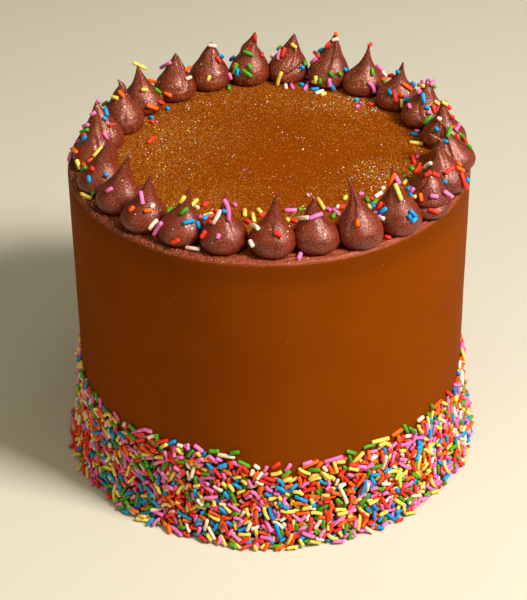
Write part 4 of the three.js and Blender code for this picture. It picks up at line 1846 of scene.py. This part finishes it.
@dataclass
class Flakes:
    """Tiny flakes that fell on the top and the dollops."""

    ground: Ground
    name: str
    count: int
    width: tuple[float, float]
    patched: float
    stays: float
    seed: int
    fallen: GoldFall = GoldFall()
    reach: float = 103 * MM
    raised: float = 172 * MM
    from_above: float = 300 * MM
    thickness: float = 0.32
    tilt: float = 0.28
    drawn_for_each: int = 9

    def fall(self, finish: bpy.types.Material, slot: str) -> bpy.types.Object:
        """Drops the flakes from above and joins those that stay.

        Args:
            finish: their material.
            slot: passed on to the join, which does not use it.

        Returns:
            The finished piece.
        """
        random = np.random.default_rng(self.seed)
        drawn = self.count * self.drawn_for_each
        spots = random.uniform(-self.reach, self.reach, (drawn, 3)) * [1, 1, 0]
        drift = Unevenness(self.seed, 12 * MM, 45 * MM, 24).at(spots)
        share = self.fallen.at(spots[:, 0], spots[:, 1], self.patched) + 0.08 * drift
        on_top = np.hypot(spots[:, 0], spots[:, 1]) < self.reach
        pile = ManySmall(self.name)
        for x, y, _ in spots[on_top & (random.uniform(size=drawn) < share)]:
            if len(pile.parts) >= self.count:
                break
            start, down = Vector((x, y, self.from_above)), Vector((0, 0, -1))
            hit, normal, _, _ = self.ground.tree.ray_cast(start, down)
            chance = self.stays * normal.z if hit.z > self.raised else 1.0
            if random.uniform() < chance:
                pile.add(*self.flake(np.array(hit), np.array(normal), random), float(random.uniform()))
        return pile.join(finish, slot)

    def flake(self, hit: np.ndarray, normal: np.ndarray, random: np.random.Generator) -> tuple:
        """One flake: two flat four-sided points, base to base.

        Args:
            hit: where it lies.
            normal: the surface's normal there.
            random: the draw of its size and turn.

        Returns:
            Its points, its faces' corners and its faces' sizes.
        """
        up = unit(normal + random.normal(size=3) * self.tilt)
        level = unit(np.cross(up, random.normal(size=3)))
        across = np.cross(up, level)
        half = random.uniform(*self.width) / 2
        rim = [level, across, -level, -across]
        form = np.array([*rim, up * self.thickness, -up * self.thickness])
        points = hit + (form + normal * 0.3) * half
        sides = [(i, (i + 1) % 4) for i in range(4)]
        corners = [corner for a, b in sides for corner in (a, b, 4)]
        corners += [corner for a, b in sides for corner in (b, a, 5)]
        return points, np.array(corners), np.full(8, 3)


# ---------------------------------------------------------------- the studio


class Panel(NamedTuple):
    """One soft light: where it stands, how wide its panel is, its power in watts and its colour."""

    name: str
    place: tuple[float, float, float]
    size: float
    power: float
    colour: tuple[float, float, float]


@dataclass
class Studio:
    """A plain pale floor under soft light, the key light from the right."""

    floor_size: float = 8.0
    floor_colour: Colour = (0.58, 0.545, 0.45, 1)
    floor_roughness: float = 0.6
    sky_colour: Colour = (1.0, 0.93, 0.64, 1)
    sky_strength: float = 0.12
    aim: tuple[float, float, float] = (0, 0, 0.1)
    panels: tuple[Panel, ...] = (
        Panel("key", (1.02, -0.62, 1.4), 0.4, 53, (1.0, 0.965, 0.9)),
        Panel("overhead", (0.1, -0.3, 1.9), 1.2, 8, (1.0, 0.96, 0.84)),
        Panel("fill", (-1.0, -1.05, 0.8), 0.9, 5, (1.0, 0.93, 0.55)),
    )

    def build(self) -> None:
        """Lays the floor and sets the lights."""
        deselect_all()
        bpy.ops.mesh.primitive_plane_add(size=self.floor_size)
        floor = bpy.context.object
        floor.name = "studio_floor"
        recipe = Recipe("pale_floor")
        recipe.surface({"Base Color": self.floor_colour, "Roughness": self.floor_roughness})
        floor.data.materials.append(recipe.material)
        for panel in self.panels:
            self.add_light(panel)
        world = bpy.data.worlds.new("studio")
        world.use_nodes = True
        sky = world.node_tree.nodes["Background"].inputs
        sky["Color"].default_value = self.sky_colour
        sky["Strength"].default_value = self.sky_strength
        bpy.context.scene.world = world
        bpy.context.scene.view_settings.view_transform = "Standard"

    def add_light(self, panel: Panel) -> None:
        """Sets one soft light that faces the cake.

        Args:
            panel: the light's panel.
        """
        lamp = bpy.data.lights.new(panel.name, "AREA")
        lamp.size, lamp.energy, lamp.color = panel.size, panel.power, panel.colour
        light = bpy.data.objects.new(panel.name, lamp)
        bpy.context.scene.collection.objects.link(light)
        turned = (Vector(self.aim) - Vector(panel.place)).to_track_quat("-Z", "Y")
        light.matrix_world = Matrix.Translation(panel.place) @ turned.to_matrix().to_4x4()


# ---------------------------------------------------------------- putting it together


def ground_of(pieces: list[bpy.types.Object]) -> BVHTree:
    """The surfaces of some pieces as one tree, to lay small things on."""
    places, faces, start = [], [], 0
    for piece in pieces:
        places.extend(vertex.co for vertex in piece.data.vertices)
        faces.extend([start + corner for corner in face.vertices] for face in piece.data.polygons)
        start += len(piece.data.vertices)
    return BVHTree.FromPolygons(places, faces)


def report(pieces: Iterable[bpy.types.Object]) -> None:
    """Logs each piece with its number of triangles."""
    for piece in pieces:
        triangles = sum(face.loop_total - 2 for face in piece.data.polygons)
        log.info("%s: %d triangles", piece.name, triangles)


def main() -> None:
    """Builds the cake's sub-assemblies in order and reports each piece."""
    logging.basicConfig(level=logging.INFO, format="%(message)s")
    view = Viewpoint()
    view.add_camera()
    Studio().build()
    coat = FrostedBody().build()
    ring = DollopRing()
    dollops = ring.build()
    report([coat, *dollops])
    side = Ground(view, ground_of([coat]), 0.0)
    ground = Ground(view, ground_of([coat, *dollops]), ring.foot - 6 * MM)
    box = SprinkleBox()
    log.info("band: %d sprinkles", SprinkleBand().settle(box, side))
    log.info("top: %d sprinkles", TopSprinkles(ground, ring).strew(box))
    report(box.join())
    gold = Flakes(ground, "gold_flakes", 21000, (0.2 * MM, 0.38 * MM), 1.0, 0.45, 61)
    few = GoldFall(thin=0.03, thick=0.07, more_left=0.04)
    coloured = Flakes(ground, "coloured_glitter", 800, (0.5 * MM, 0.82 * MM), 1.6, 0.9, 62, few)
    report([
        gold.fall(GOLD_GLITTER.material(), "gold_dust"),
        coloured.fall(COLOURED_GLITTER.material(), "gold_dust"),
    ])


if __name__ == "__main__":
    main()
